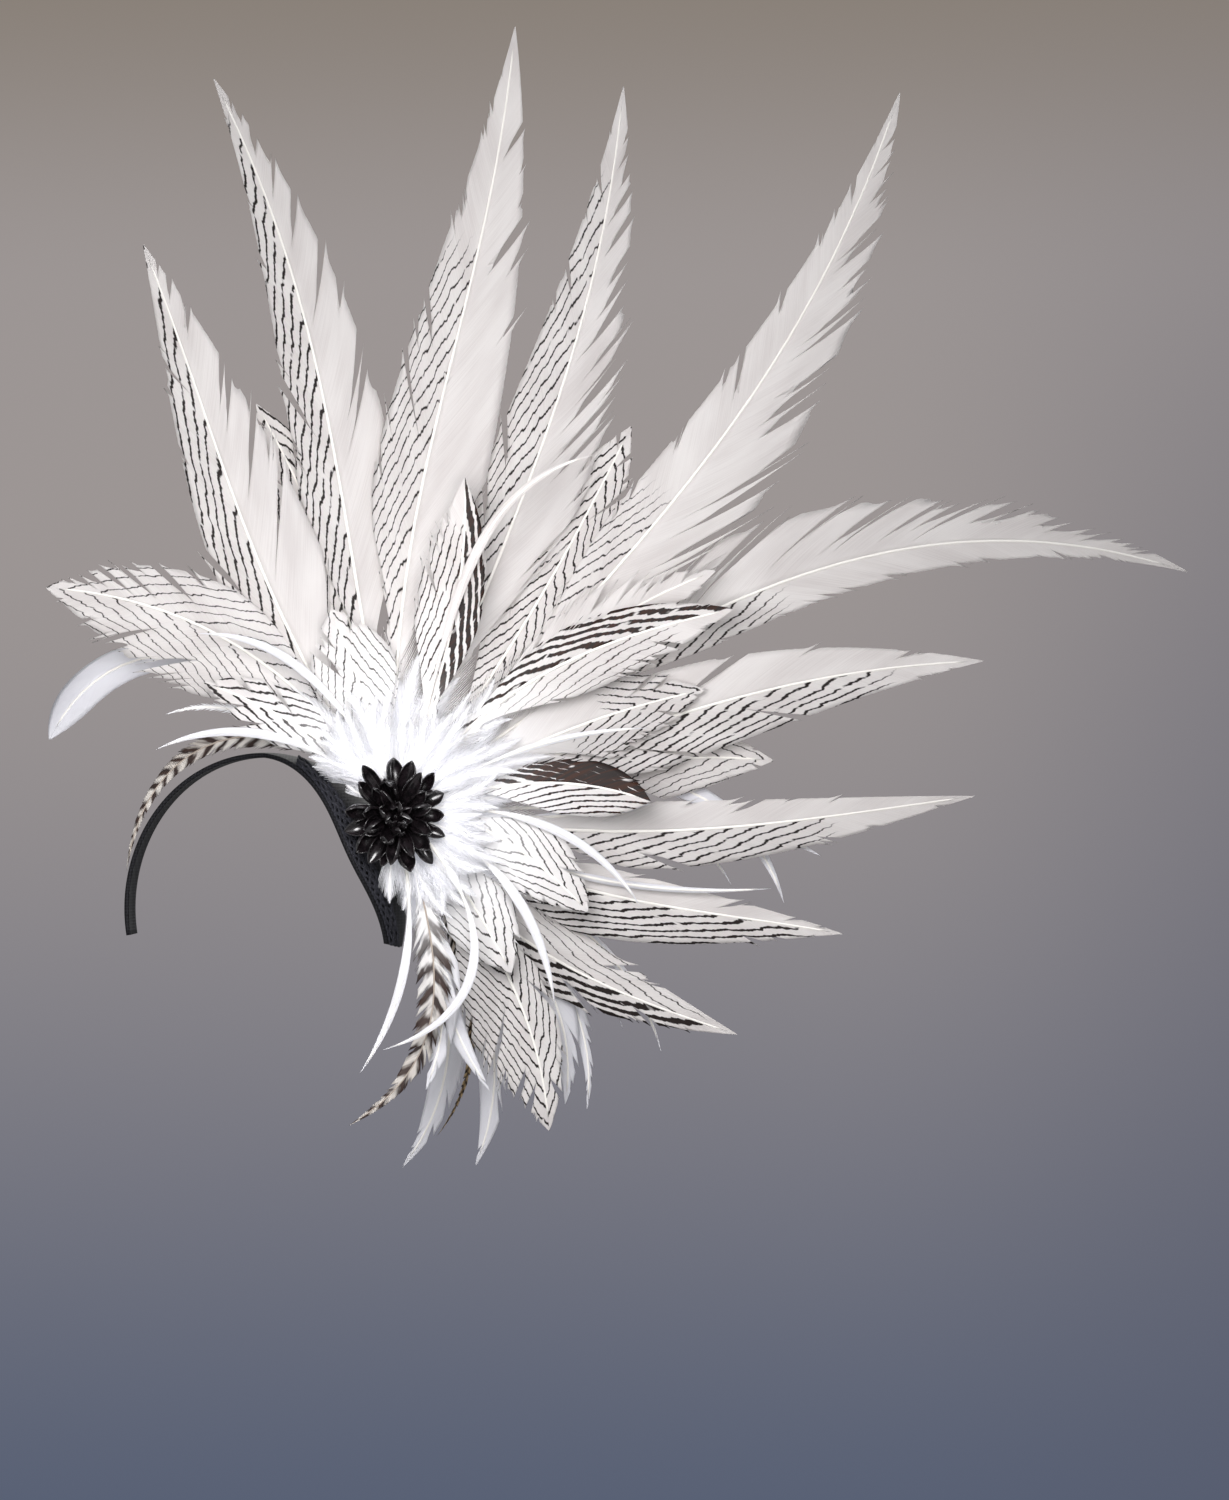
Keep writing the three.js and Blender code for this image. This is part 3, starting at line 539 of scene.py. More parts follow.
# %% The table of feathers
FEATHERS = {
    "tail_feather_1": ("tail", 4, 126, 114.5, 112, 0.71, 0.95, 0.42, 0.38, 0.3),
    "tail_feather_2": ("tail", 3, 102, 104.5, 117, 0.87, 0.86, 0.42, 0.38, 0.5),
    "tail_feather_3": ("tail", 4, 93, 81.6, 85, 0.904, 0.98, 0.45, 0.38, -0.4),
    "tail_feather_4": ("tail", 3, 69, 72.9, 85, 0.87, 0.90, 0.45, 0.38, 0.2),
    "tail_feather_5": ("tail", 4, 48, 55.1, 72, 1.0, 0.98, 0.36, 0.38, -0.3),
    "tail_feather_6": ("tail", 3, 36, 16.6, -18, 0.95, 0.84, 0.66, 0.38, 0.6),
    "tail_feather_7": ("tail", 4, 18, 14.1, 2, 0.69, 0.82, 0.50, 0.38, 0.3),
    "tail_feather_8": ("tail", 3, -10, 1.2, 8, 0.66, 0.59, 0.44, 0.38, 0.5),
    "tail_feather_9": ("tail", 4, -30, -15.8, -10, 0.527, 0.62, 0.38, 0.38, 0.2),
    "tail_feather_10": ("tail", 3, -54, -33.8, -18, 0.465, 0.64, 0.52, 0.38, 0.4),
    "crest_feather_1": ("body", 5, 126, 148.0, 176, 1.01, 1.08, 0.58),
    "crest_feather_2": ("body", 5, -54, -65.0, -86, 0.863, 0.88, 0.34),
    "inner_feather_1": ("body", 9, 72, 78.5, 92, 0.815, 0.64, 0.60),
    "inner_feather_2": ("body", 8, 52, 30.7, 12, 0.944, 0.66, 0.46),
    "inner_feather_3": ("body", 9, 14, 1.6, -20, 0.611, 0.55, 0.45),
    "inner_feather_4": ("body", 8, 106, 108.4, 112, 0.508, 0.86, 0.52),
    "inner_feather_5": ("body", 9, -8, -28.4, -46, 0.523, 0.69, 0.50),
    "inner_feather_6": ("body", 8, -48, -55.3, -62, 0.483, 0.69, 0.50),
    "inner_feather_7": ("body", 8, 136, 146.9, 160, 0.558, 0.55, 0.50),
    "inner_feather_8": ("body", 2, 10, 7.2, -6, 0.918, 0.79, 0.50),
    "inner_feather_9": ("body", 5, 26, 21.2, 12, 0.796, 0.79, 0.50),
    "inner_feather_10": ("body", 2, 54, 58.8, 64, 1.09, 0.90, 0.55),
    "inner_feather_11": ("body", 2, 104, 109.6, 120, 1.047, 0.76, 0.50),
    "inner_feather_12": ("body", 6, 44, 36.8, 20, 0.96, 0.72, 0.50),
    "blade_1": ("blade", 10, 140, 166.3, 206, 0.625, 0.45, 0.5),
    "blade_2": ("blade", 0, 126, 169.1, 244, 0.913, 0.95, 0.5, 0.48),
    "blade_3": ("blade", 10, 2, -21.8, -58, 0.658, 0.45, 0.5),
    "blade_4": ("blade", 11, -24, -51.1, -82, 0.632, 0.5, 0.5),
    "blade_5": ("blade", 13, -80, -97.9, -124, 0.67, 0.45, 0.5),
    "blade_6": ("blade", 13, -46, -93.4, -164, 0.605, 0.55, 0.5, 0.54),
    "blade_7": ("blade", 10, 72, 60.6, 12, 1.022, 0.9, 0.5),
    "blade_8": ("blade", 1, 18, -14.1, -74, 1.01, 0.7, 0.5, 0.42),
    "blade_9": ("blade", 10, 28, 17.9, 2, 0.66, 0.3, 0.5),
    "blade_10": ("blade", 10, 116, 138.9, 182, 0.669, 0.45, 0.5),
    "blade_11": ("blade", 1, -72, -89.7, -128, 0.917, 0.8, 0.5),
    "blade_12": ("blade", 0, -62, -78.2, -112, 0.935, 0.9, 0.5),
    "blade_13": ("blade", 10, -72, -84.2, -112, 0.711, 1.0, 0.5),
    "blade_14": ("blade", 9, -76, -71.8, -56, 0.75, 0.6, 0.5),
    "blade_15": ("blade", 1, -42, -58.3, -98, 0.905, 0.45, 0.5),
    "blade_16": ("blade", 2, -46, -60.9, -100, 0.864, 1.0, 0.5),
    "blade_17": ("blade", 5, -24, -12.1, 4, 0.968, 0.35, 0.5),
    "rear_blade_1": ("blade", 2, -8, -6.6, -30, 1.082, 0.6, 0.5),
    "rear_blade_2": ("blade", 0, -2, -13.2, -62, 0.868, 0.5, 0.5),
    "rear_blade_3": ("blade", 0, -34, -43.2, -76, 0.914, 0.45, 0.5),
    "rear_blade_4": ("blade", 1, -30, -44.7, -70, 0.8, 0.4, 0.5),
    "rear_blade_5": ("blade", 2, 146, 158.3, 200, 0.641, 0.5, 0.5),
    "hackle_1": ("hackle", 1, 138, 193.2, 263, 0.849, 0.6, 0.5, 0.54),
    "hackle_2": ("hackle", 11, -73, -98.7, -150, 0.957, 1.0, 0.5, 0.44),
    "hackle_3": ("hackle", 2, -66, -83.6, -128, 1.0, 0.25, 0.5),
}

# %% The looks of the families
PLAIN = (0.0, 0.0, 0.0)


def both(*vane):
    """The same four numbers for the left and the right vane."""
    return {"left": vane, "right": vane}


LOOKS = {
    "tail": {"left": (*PLAIN, 0.1), "right": (*PLAIN, 0.12), "nicks": 0.22, "barb_angle": 25, "tuft": 7 * MM,
             "rows": 8, "lift": 1.2 * MM, "fluff": 13 * MM, "chevron": 3.8, "pitch": 4.1 * MM, "brown": 0.0},
    "body": {**both(0.13, 0.12, 1.2, 0.08), "nicks": 0.3, "barb_angle": 30, "tuft": 6 * MM, "rows": 8,
             "lift": 0.8 * MM, "fluff": 12 * MM, "chevron": 2.8, "pitch": 3.9 * MM, "brown": 0.0},
    "blade": {**both(*PLAIN, 0.0), "nicks": 0.04, "barb_angle": 22, "tuft": 7 * MM, "rows": 5,
              "lift": 0.3 * MM, "fluff": 4 * MM, "chevron": 1.0, "pitch": 5 * MM, "brown": 0.0, "slim": 0.72},
    "hackle": {**both(0.55, 0.24, 1.3, 0.25), "nicks": 0.7, "barb_angle": 36, "tuft": 2.8 * MM, "rows": 6,
               "lift": 0.6 * MM, "fluff": 8 * MM, "chevron": -1.2, "pitch": 9.2 * MM, "brown": 0.5,
               "stout": 0.45},
    "down": {**both(*PLAIN, 0.9), "nicks": 1.0, "barb_angle": 15, "tuft": 1.2 * MM, "rows": 6,
             "lift": 2.0 * MM, "fluff": 4 * MM, "chevron": 1.0, "pitch": 5 * MM, "brown": 0.0, "stout": 0.35},
}

# %% What single feathers change
SINGLE = {
    "tail_feather_1": {"left": (0.23, 0.10, 1.08, 0.06), "right": (*PLAIN, 0.26), "chevron": 5.5},
    "tail_feather_2": {"left": (0.24, 0.10, 0.98, 0.04), "right": (*PLAIN, 0.4), "tuft": 9 * MM},
    "tail_feather_3": {"left": (0.165, 0.12, 0.76, 0.08), "right": (*PLAIN, 0.08)},
    "tail_feather_4": {"left": (0.175, 0.14, 0.92, 0.06), "right": (*PLAIN, 0.3)},
    "tail_feather_5": {"left": (0.15, 0.08, 0.50, 0.06), "right": (*PLAIN, 0.55), "nicks": 0.3},
    "tail_feather_6": {"left": (*PLAIN, 0.5), "right": (0.20, 0.06, 0.54, 0.06), "nicks": 0.5},
    "tail_feather_7": {"left": (*PLAIN, 0.1), "right": (0.24, 0.10, 0.88, 0.05)},
    "tail_feather_8": {"left": (*PLAIN, 0.05), "right": (0.22, 0.08, 0.78, 0.05)},
    "tail_feather_9": {"left": (*PLAIN, 0.08), "right": (0.30, 0.08, 0.97, 0.03), "chevron": 5.5,
                       "pitch": 3.6 * MM, "finish": "body"},
    "tail_feather_10": {"left": (0.12, 0.3, 0.97, 0.08), "right": (0.50, 0.06, 0.98, 0.03), "chevron": 6.0,
                        "pitch": 3.8 * MM, "finish": "body", "young": 0.6},
    "crest_feather_1": {"left": (0.11, 0.12, 1.2, 0.06), "right": (0.12, 0.12, 1.2, 0.12), "pitch": 4.4 * MM},
    "crest_feather_2": {**both(0.2, 0.1, 1.2, 0.06), "pitch": 3.4 * MM},
    "inner_feather_1": {"left": (0.2, 0.3, 0.9, 0.05), "right": (0.62, 0.22, 1.1, 0.0), "brown": 0.6,
                        "chevron": 6.0, "pitch": 3.6 * MM},
    "inner_feather_2": {"left": (0.5, 0.12, 1.1, 0.0), "right": (0.12, 0.25, 0.9, 0.05), "brown": 0.7,
                        "young": 0.6, "chevron": 6.0, "pitch": 3.9 * MM},
    "inner_feather_3": {"left": (1.06, 0.10, 1.3, 0.0), "right": (0.30, 0.12, 1.2, 0.0), "brown": 0.85,
                        "chevron": 5.0, "pitch": 3.0 * MM, "young": 0.3, "widest": 0.64, "taper": 3.2},
    "inner_feather_5": both(0.17, 0.12, 1.2, 0.03),
    "inner_feather_6": both(0.17, 0.12, 1.2, 0.03),
    "inner_feather_7": {**both(0.24, 0.1, 1.2, 0.1), "chevron": 3.5},
    "inner_feather_9": {"left": (0.2, 0.62, 1.1, 0.15), "right": (0.2, 0.50, 1.1, 0.15), "pitch": 3.6 * MM},
    "inner_feather_10": {"left": (0.2, 0.12, 1.1, 0.3), "right": (0.2, 0.12, 1.1, 0.2), "pitch": 3.5 * MM},
    "inner_feather_11": {**both(0.24, 0.12, 1.1, 0.2), "pitch": 3.5 * MM},
    "inner_feather_12": {**both(*PLAIN, 0.35), "nicks": 0.8},
    "hackle_1": {**both(0.52, 0.10, 1.3, 0.08), "pitch": 6.2 * MM, "slim": 1.1},
    "hackle_3": {"pitch": 3.0 * MM, "slim": 1.3, "finish": "golden_hackle"},
    "blade_2": {"slim": 1.35, "widest": 0.84, "taper": 3.0},
    "blade_6": {"slim": 0.62},
    "blade_7": {"slim": 0.4, "fluff": 2 * MM, "finish": "tail"},
    "blade_8": {"slim": 1.0},
    "blade_11": {"left": (*PLAIN, 0.2), "right": (*PLAIN, 0.25), "nicks": 0.1, "slim": 1.5},
    "blade_12": {"left": (*PLAIN, 0.25), "right": (*PLAIN, 0.1), "nicks": 0.1, "slim": 1.5},
    "blade_13": {**both(*PLAIN, 0.25), "nicks": 0.1, "slim": 1.2},
    "blade_14": {**both(*PLAIN, 0.3), "nicks": 0.1, "slim": 1.4},
    "blade_15": {"left": (*PLAIN, 0.3), "right": (*PLAIN, 0.2), "slim": 1.5},
    "blade_16": {"left": (*PLAIN, 0.3), "right": (*PLAIN, 0.2), "nicks": 0.1, "slim": 1.4},
    "rear_blade_1": {"slim": 1.2},
    "rear_blade_5": {**both(*PLAIN, 0.9), "tuft": 1.6 * MM, "barb_angle": 28, "finish": "down"},
}
print("feathers:", len(FEATHERS), "of which", len(SINGLE), "change something")

# %% [markdown]
# ## The feather's finish
# A vane is white with a trace of cream, and light passes through it, so a translucent shader is mixed in,
# but not where a bar is dark. An image of bars would be quick, but it blurs close up and no two feathers
# share a pattern. So the bars are lines at whole steps of the stored phase, which noise bends, swells and
# breaks into dashes. Fine streaks follow the barbs. Towards the flower the vanes are painted whiter and
# their black bars fainter, a painted pool of light round the flower, where the close lamp is brightest.
# Brown ink is mottled with black.

# %% Ink on a vane
WHOLE_BEND, LEAST_SWELL, SWELL = 1.2, 0.55, 0.9
CREAM_WHITE, PINK_SHADE, PAINTED_LIGHT_WHITE = (0.81, 0.787, 0.780), (0.64, 0.605, 0.600), (0.94, 0.94, 0.95)
COMMON = {
    "white": CREAM_WHITE, "shade": PINK_SHADE, "black": (0.018, 0.013, 0.012), "brown": (0.044, 0.016, 0.009),
    "quill": (0.97, 0.945, 0.90), "glow": (0.92, 0.89, 0.86, 1.0), "sheer": 0.3, "rough": 0.5, "relief": 0.35,
    "lit": 0.0, "gaps": 0.32, "jagged": 0.4, "blur": 0.04,
}


def vane_noise(paint, on_vane, across, along, detail=2.0):
    """Noise that is stretched over the vane: across and along are its steps in a millimetre."""
    return paint.noise(paint.stretched(on_vane, (across, along, 0.0)), 1.0, detail)


def bars(paint, on_vane, bar, own):
    """How much ink there is: lines at whole numbers of the phase, bent, swollen and broken by noise."""
    _, _, phase = on_vane.parts()
    bent = phase + (vane_noise(paint, on_vane, 0.10, 0.035) - 0.5) * WHOLE_BEND
    bent = bent + (vane_noise(paint, on_vane, 0.16, 0.24, 1.6) - 0.5) * own["jagged"]
    whole = vane_noise(paint, on_vane, 0.20, 0.10).ramp(own["gaps"] - 0.05, own["gaps"] + 0.05)
    swell = vane_noise(paint, on_vane, 0.35, 0.08) * SWELL + LEAST_SWELL
    line = (bent.from_line() - 0.5 * bar * swell).ramp(own["blur"], -own["blur"])
    return line * bar.ramp(0.03, 0.10) * whole


# %% The whole vane
# Within these distances of the flower a pool of light is painted on the vanes: a whiter ground and fainter
# bars.
LIGHT_POOL_WITHIN, INKED_FROM, LIGHT_POOL_UNTIL = 45 * MM, 100 * MM, 150 * MM
LIGHT_WASHOUT_SHARE = 0.6


def vane_finish(name, **changes):
    own = {**COMMON, **changes}
    paint = finish_named(name)
    on_vane = paint.attribute("vane")
    bar, brown, is_quill = paint.attribute("mark").parts()
    from_flower = paint.node("ShaderNodeVectorMath", {"operation": "DISTANCE"},
                             {0: paint.place(), 1: FLOWER_AT}, "Value")
    # Painted light: close to the flower the ground turns whiter and the bars fainter, as if the lamp washed
    # them out.
    painted_light_near_flower = from_flower.ramp(LIGHT_POOL_UNTIL, LIGHT_POOL_WITHIN)
    washed_out_by_light = from_flower.ramp(INKED_FROM, LIGHT_POOL_WITHIN) * LIGHT_WASHOUT_SHARE * (1 - brown)
    inked = bars(paint, on_vane, bar, own) * (1 - is_quill) * (1 - washed_out_by_light)
    streak = vane_noise(paint, on_vane, 0.05, 2.2)
    patch = vane_noise(paint, on_vane, 0.05, 0.03)
    mottle = vane_noise(paint, on_vane, 0.05, 0.30)
    ground = paint.blend((streak * 0.7 + patch * 0.6).ramp(0.42, 0.82), own["shade"], own["white"])
    ground = paint.blend(painted_light_near_flower, ground, PAINTED_LIGHT_WHITE)
    ink = paint.blend(brown * mottle.ramp(0.44, 0.60), own["black"], own["brown"])
    colour = paint.blend(is_quill, paint.blend(inked, ground, ink), own["quill"])
    # The emission is a painted glow: it brightens the vane though no lamp does, and only the down gets it.
    vane_shader = paint.node("ShaderNodeBsdfPrincipled", {}, {
        "Base Color": colour, "Roughness": own["rough"], "Specular IOR Level": 0.15,
        "Normal": paint.bump(streak, own["relief"], 0.2 * MM),
        "Emission Color": (0.93, 0.95, 1.0, 1.0), "Emission Strength": own["lit"]})
    glow = paint.node("ShaderNodeBsdfTranslucent", {}, {"Color": own["glow"]})
    share = (1 - inked) * (1 - is_quill) * own["sheer"]
    return paint.surface(paint.node("ShaderNodeMixShader", {}, {0: share, 1: vane_shader, 2: glow}))


# %% One finish for each kind of feather
FINISHES = {
    "tail": vane_finish("barred_tail_vane", gaps=0.35, jagged=0.38, blur=0.05),
    "body": vane_finish("barred_body_vane"),
    "blade": vane_finish("white_blade_vane", white=(0.83, 0.83, 0.86), shade=(0.74, 0.735, 0.78), rough=0.35,
                         glow=(0.93, 0.93, 0.97, 1.0)),
    "hackle": vane_finish("banded_hackle_vane", white=(0.74, 0.71, 0.67), shade=(0.50, 0.45, 0.41),
                          black=(0.030, 0.020, 0.018), brown=(0.062, 0.036, 0.028), quill=(0.42, 0.36, 0.31),
                          gaps=0.1, jagged=0.6, blur=0.18, rough=0.4),
    "golden_hackle": vane_finish("golden_hackle_vane", white=(0.42, 0.29, 0.13), shade=(0.26, 0.17, 0.07),
                                 brown=(0.030, 0.018, 0.012), quill=(0.10, 0.07, 0.04), gaps=0.1, jagged=0.6,
                                 blur=0.12, rough=0.4),
    # The down's emission is painted light, a glow that makes it brighter than its lamps make it.
    "down": vane_finish("white_down", white=(0.96, 0.96, 0.965), shade=(0.92, 0.915, 0.92), rough=0.7,
                        sheer=0.65, relief=0.06, lit=0.16, glow=(0.98, 0.98, 1.0, 1.0)),
}
print("feather finishes:", list(FINISHES))

# %% [markdown]
# ## Making the feathers
# Each feather becomes one mesh of two vanes and a quill, because it moves and is dyed as one thing. Borders
# that fall together are merged. Vanes without thickness would do for a picture, but they have no inside, so
# a thin Solidify closes the mesh.

# %% From tufts to a piece
VANE_THICKNESS = 0.3 * MM
WELD = 0.02 * MM


def piece(name, bm, material, node, thickness=0.0):
    """Turns a finished bmesh into the piece that stands for a CAD node."""
    mesh = bpy.data.meshes.new(name)
    bm.to_mesh(mesh)
    bm.free()
    mesh.materials.append(material)
    mesh.shade_smooth()
    one = bpy.data.objects.new(name, mesh)
    bpy.context.collection.objects.link(one)
    if thickness:
        wall = one.modifiers.new("thickness", "SOLIDIFY")
        wall.thickness = thickness
        wall.offset = 0.0
    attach(one, "root")
    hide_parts(node)
    return one


# %% The feathers
def feather_mesh(bm, numbers, quill, look, chance):
    """Lays both vanes and the quill of a feather, and merges the borders of its tufts."""
    quill.fit(look, chance.uniform(0, 4000))
    left = lay_vane(bm, numbers, quill, 1, look, chance)
    right = lay_vane(bm, numbers, quill, -1, look, chance)
    bmesh.ops.remove_doubles(bm, verts=left + right, dist=WELD)
    bmesh.ops.remove_doubles(bm, verts=shaft(bm, numbers, quill), dist=WELD)


faces = 0
for number, (name, (family, *row)) in enumerate(FEATHERS.items()):
    bm = bmesh.new()
    look = {**LOOKS[family], **SINGLE.get(name, {})}
    feather_mesh(bm, stored_numbers(bm), Quill(family, *row), look, random.Random(number + 11))
    faces += len(bm.faces)
    piece(name + "_vanes", bm, FINISHES[look.get("finish", family)], name, VANE_THICKNESS)
print("feathers:", len(FEATHERS), "with", faces, "faces before they get their thickness")

# %% [markdown]
# ## Down
# Round the flower the photograph shows a burst of soft white plumage. A ball with a furry finish would have
# a hard edge. So each ruff is a crowd of small loose plumes on curved quills, made as feathers are, but
# their tufts are narrow and let go of each other almost at the quill, so they read as separate barbs. A
# plume is laid in a mesh of its own and then joined, because merging gets slow in a large mesh.

# %% Two ruffs of small plumes
RUFF_FROM, RUFF_TO, RUFF_FADE, RUFF_END_REACH = -95, 156, 20, 0.66
DRIFT, DEPTH_SPREAD, PLUME_WIDTHS, SHORT_PLUME = 26, 0.25, (0.8, 1.25), 0.9
DOWN_THICKNESS = 0.16 * MM


def ruff(name, node, layer, count, seed, shortest, longest):
    chance = random.Random(seed)
    bm = bmesh.new()
    stored_numbers(bm)
    for i in range(count):
        bearing = blend(RUFF_FROM, RUFF_TO, (i + chance.uniform(0.1, 0.9)) / count)
        drift = chance.uniform(-DRIFT, DRIFT)
        from_end = min(bearing - RUFF_FROM, RUFF_TO - bearing) / RUFF_FADE
        reach = chance.uniform(shortest, longest) * (SHORT_PLUME if i % 2 else 1.0)
        reach = reach * blend(RUFF_END_REACH, 1.0, smooth(from_end))
        depth = layer + chance.uniform(-DEPTH_SPREAD, DEPTH_SPREAD)
        quill = Quill("down", depth, bearing - drift * 0.5, bearing, bearing + drift * 1.2, reach,
                      chance.uniform(*PLUME_WIDTHS), 0.5)
        one = bmesh.new()
        feather_mesh(one, stored_numbers(one), quill, LOOKS["down"], chance)
        plume = bpy.data.meshes.new("plume")
        one.to_mesh(plume)
        one.free()
        bm.from_mesh(plume)
        bpy.data.meshes.remove(plume)
    print(name, "plumes:", count, "faces:", len(bm.faces))
    piece(name, bm, FINISHES["down"], node, DOWN_THICKNESS)


ruff("down_ruff_rear_plumes", "down_ruff_rear", 7, 58, 71, 0.8, 1.25)
ruff("down_ruff_front_plumes", "down_ruff_front", 12, 56, 72, 0.6, 1.08)

# %% [markdown]
# ## The flower
# The dark flower is a dahlia-like rosette of glossy scooped petals with short points, in three rings, with
# a tight bud. One petal could be copied round in rings, but the photograph's are all different, so each is
# a grid of its own with its own lean, roll and hook: narrow at its foot, widest past the middle, and drawn
# to a point. The gloss is a coat over near black, with a fine grain, so that each petal catches the lamp as
# a narrow streak.

# %% Petals
FLOWER_X, FLOWER_Z = FAN_X, FAN_Z - 4 * MM
CORE_FRONT_Y = REAR_LAYER_Y - (LAYERS - 1) * LAYER_PITCH - 2 * QUILL_RADIUS
DISC_RADIUS, DISC_THICKNESS = 10 * MM, 2.4 * MM
FLOWER_RADIUS, PETAL_WIDTH, FLOWER_OVAL = 33 * MM, 11.5 * MM, 0.2
PETAL_WALL, PETAL_FULL_AT, PETAL_FOOT = 0.7 * MM, 0.6, 0.7
LEANS, LENGTHS, BOWLS = (-17, 17), (0.88, 1.14), (0.24, 0.42)
ROLLS, HOOKS, SWAYS = (-0.9, 0.9), (-0.1, 0.35), (-0.16, 0.16)
TIERS = [
    {"node": "flower_petals_outer", "disc": 1.0, "count": 15, "reach": 1.06, "width": 1.12,
     "lean": 14, "turn": 0},
    {"node": "flower_petals_middle", "disc": 0.8, "count": 14, "reach": 0.90, "width": 1.04,
     "lean": 36, "turn": 9},
    {"node": "flower_petals_inner", "disc": 0.6, "count": 10, "reach": 0.60, "width": 0.84,
     "lean": 60, "turn": 20},
]


def in_flower(out, forward, turn):
    """A point of the flower: how far out and how far forward it is, and its turn round the axis."""
    return Vector((FLOWER_X + out * math.cos(turn), CORE_FRONT_Y - SEAT_GAP - forward,
                   FLOWER_Z + out * math.sin(turn)))


def petal_width(u):
    """Narrow at the foot, full and round past the middle, and drawn in to a short point."""
    if u < PETAL_FULL_AT:
        return blend(0.5, 1.0, smooth(u / PETAL_FULL_AT))
    return max(0.0, 1 - ((u - PETAL_FULL_AT) / (1 - PETAL_FULL_AT)) ** 3.6)


def petal(bm, tier, base, turn, chance):
    """Lays one petal: a bowl across, bent up along its length, and leaning out from the disc."""
    lean = math.radians(tier["lean"] + chance.uniform(*LEANS))
    foot = DISC_RADIUS * tier["disc"] * PETAL_FOOT
    oval = 1 - FLOWER_OVAL * math.cos(turn) ** 2
    length = (FLOWER_RADIUS * tier["reach"] * oval - foot) / math.cos(lean * 0.7) * chance.uniform(*LENGTHS)
    radius = PETAL_WIDTH * tier["width"] * chance.uniform(*BOWLS)
    roll, hook, sway = chance.uniform(*ROLLS), chance.uniform(*HOOKS), chance.uniform(*SWAYS)

    def rule(vert, u, v):
        bowl = radius * petal_width(u)
        angle = (2 * v - 1) * 2.0 + roll
        aside = bowl * math.sin(angle) + length * sway * u * u
        up = bowl * (1 - math.cos(angle)) * 0.9 + radius * 0.7 * math.sin(math.pi * 0.75 * u)
        up += length * hook * smooth((u - 0.7) / 0.3)
        out = foot + length * u * math.cos(lean) - up * math.sin(lean)
        forward = base + length * u * math.sin(lean) + up * math.cos(lean)
        return in_flower(out, forward, turn) + Vector((-math.sin(turn), 0, math.cos(turn))) * aside

    laid_grid(bm, 11, 10, rule)


# %% Petal finish
def petal_finish():
    paint = finish_named("glossy_black_petal")
    cloud = paint.noise(paint.place(), 260.0, 4.0)
    grain = paint.noise(paint.place(), 900.0, 2.0)
    colour = paint.blend(cloud.ramp(0.3, 0.75), (0.004, 0.0035, 0.004), (0.013, 0.009, 0.011))
    return paint.surface(paint.node("ShaderNodeBsdfPrincipled", {}, {
        "Base Color": colour, "Roughness": cloud.ramp(0.2, 0.9) * 0.15 + 0.20,
        "Normal": paint.bump(grain, 0.15, 0.2 * MM),
        "Coat Weight": 0.5, "Coat Roughness": 0.14, "IOR": 1.55}))


BLACK_PETAL = petal_finish()


# %% Rings of petals
def petal_piece(name, bm, node, wall):
    """A piece of petals, with a wall and soft edges."""
    faces = len(bm.faces)
    soften = piece(name, bm, BLACK_PETAL, node, wall).modifiers.new("soften", "SUBSURF")
    soften.levels = soften.render_levels = 1
    print(name, "has", faces, "faces before it gets its wall")


for number, tier in enumerate(TIERS):
    chance = random.Random(310 + number)
    base = number * (DISC_THICKNESS + SEAT_GAP)
    bm = bmesh.new()
    disc = bmesh.ops.create_cone(bm, cap_ends=True, segments=24, radius1=DISC_RADIUS * tier["disc"],
                                 radius2=DISC_RADIUS * tier["disc"], depth=DISC_THICKNESS)["verts"]
    for vert in disc:
        vert.co = in_flower(math.hypot(vert.co.x, vert.co.y), base + vert.co.z + DISC_THICKNESS / 2,
                            math.atan2(vert.co.y, vert.co.x))
    bmesh.ops.recalc_face_normals(bm, faces=bm.faces)
    for i in range(tier["count"]):
        turn = math.radians(tier["turn"] + i * 360 / tier["count"] + chance.uniform(-8, 8))
        petal(bm, tier, base + DISC_THICKNESS / 2, turn, chance)
    petal_piece(tier["node"] + "_scoops", bm, tier["node"], PETAL_WALL)

# %% The bud
BUD_RADIUS, BUD_LEAVES, BUD_TURN, BUD_WALL = 5 * MM, 9, 2.4, 0.5 * MM
BUD_BASE = len(TIERS) * (DISC_THICKNESS + SEAT_GAP)
bm = bmesh.new()
for i in range(BUD_LEAVES):
    turn = BUD_TURN * i
    size = blend(1.0, 0.45, i / (BUD_LEAVES - 1))

    def rule(vert, u, v):
        side = 2 * v - 1
        wide = math.sin(math.pi * min(u * 0.9 + 0.1, 1.0)) ** 0.6
        out = BUD_RADIUS * size * (0.55 + 0.45 * math.sin(math.pi * u ** 0.8)) * (1 - 0.75 * u ** 3)
        forward = BUD_RADIUS * (2.35 - 0.35 * size) * u
        return in_flower(out, BUD_BASE + forward, turn + side * wide * 0.95)

    laid_grid(bm, 7, 5, rule)
petal_piece("flower_bud_leaves", bm, "flower_bud", BUD_WALL)

# %% [markdown]
# ## The band
# The band is black cloth over a thin stiff shell that lies on the head, 20 mm wide over the crown and
# flared out above the ear. It could be cut from a bent strip, but then its edges would have to be fitted to
# the head by hand. So it is one grid, laid over an egg-shaped head by two angles: across from ear to ear,
# and forward. The cloth's weave is two sets of waves that cross, with a little lint.

# %% Over the head
BAND_THICKNESS, BAND_WIDTH = 2.5 * MM, 20 * MM
BAND_RIGHT_END, BAND_LEFT_END = -100, 104
BAND_YAW = 10.3
FLARE_FROM, FLARE_TO, FLARE = 0, 116, 29


def over_head(across, forward, outside):
    """A point over the head: degrees towards the left ear, degrees forward, and metres off the head."""
    left, ahead = math.radians(across), math.radians(forward)
    return Vector(((HEAD_HALF_WIDTH + outside) * math.sin(left) * math.cos(ahead),
                   -(HEAD_HALF_DEPTH + outside) * math.sin(ahead),
                   (HEAD_HALF_HEIGHT + outside) * math.cos(left) * math.cos(ahead) - HEAD_HALF_HEIGHT))


def forward_degrees(length):
    return math.degrees(length / HEAD_HALF_DEPTH)


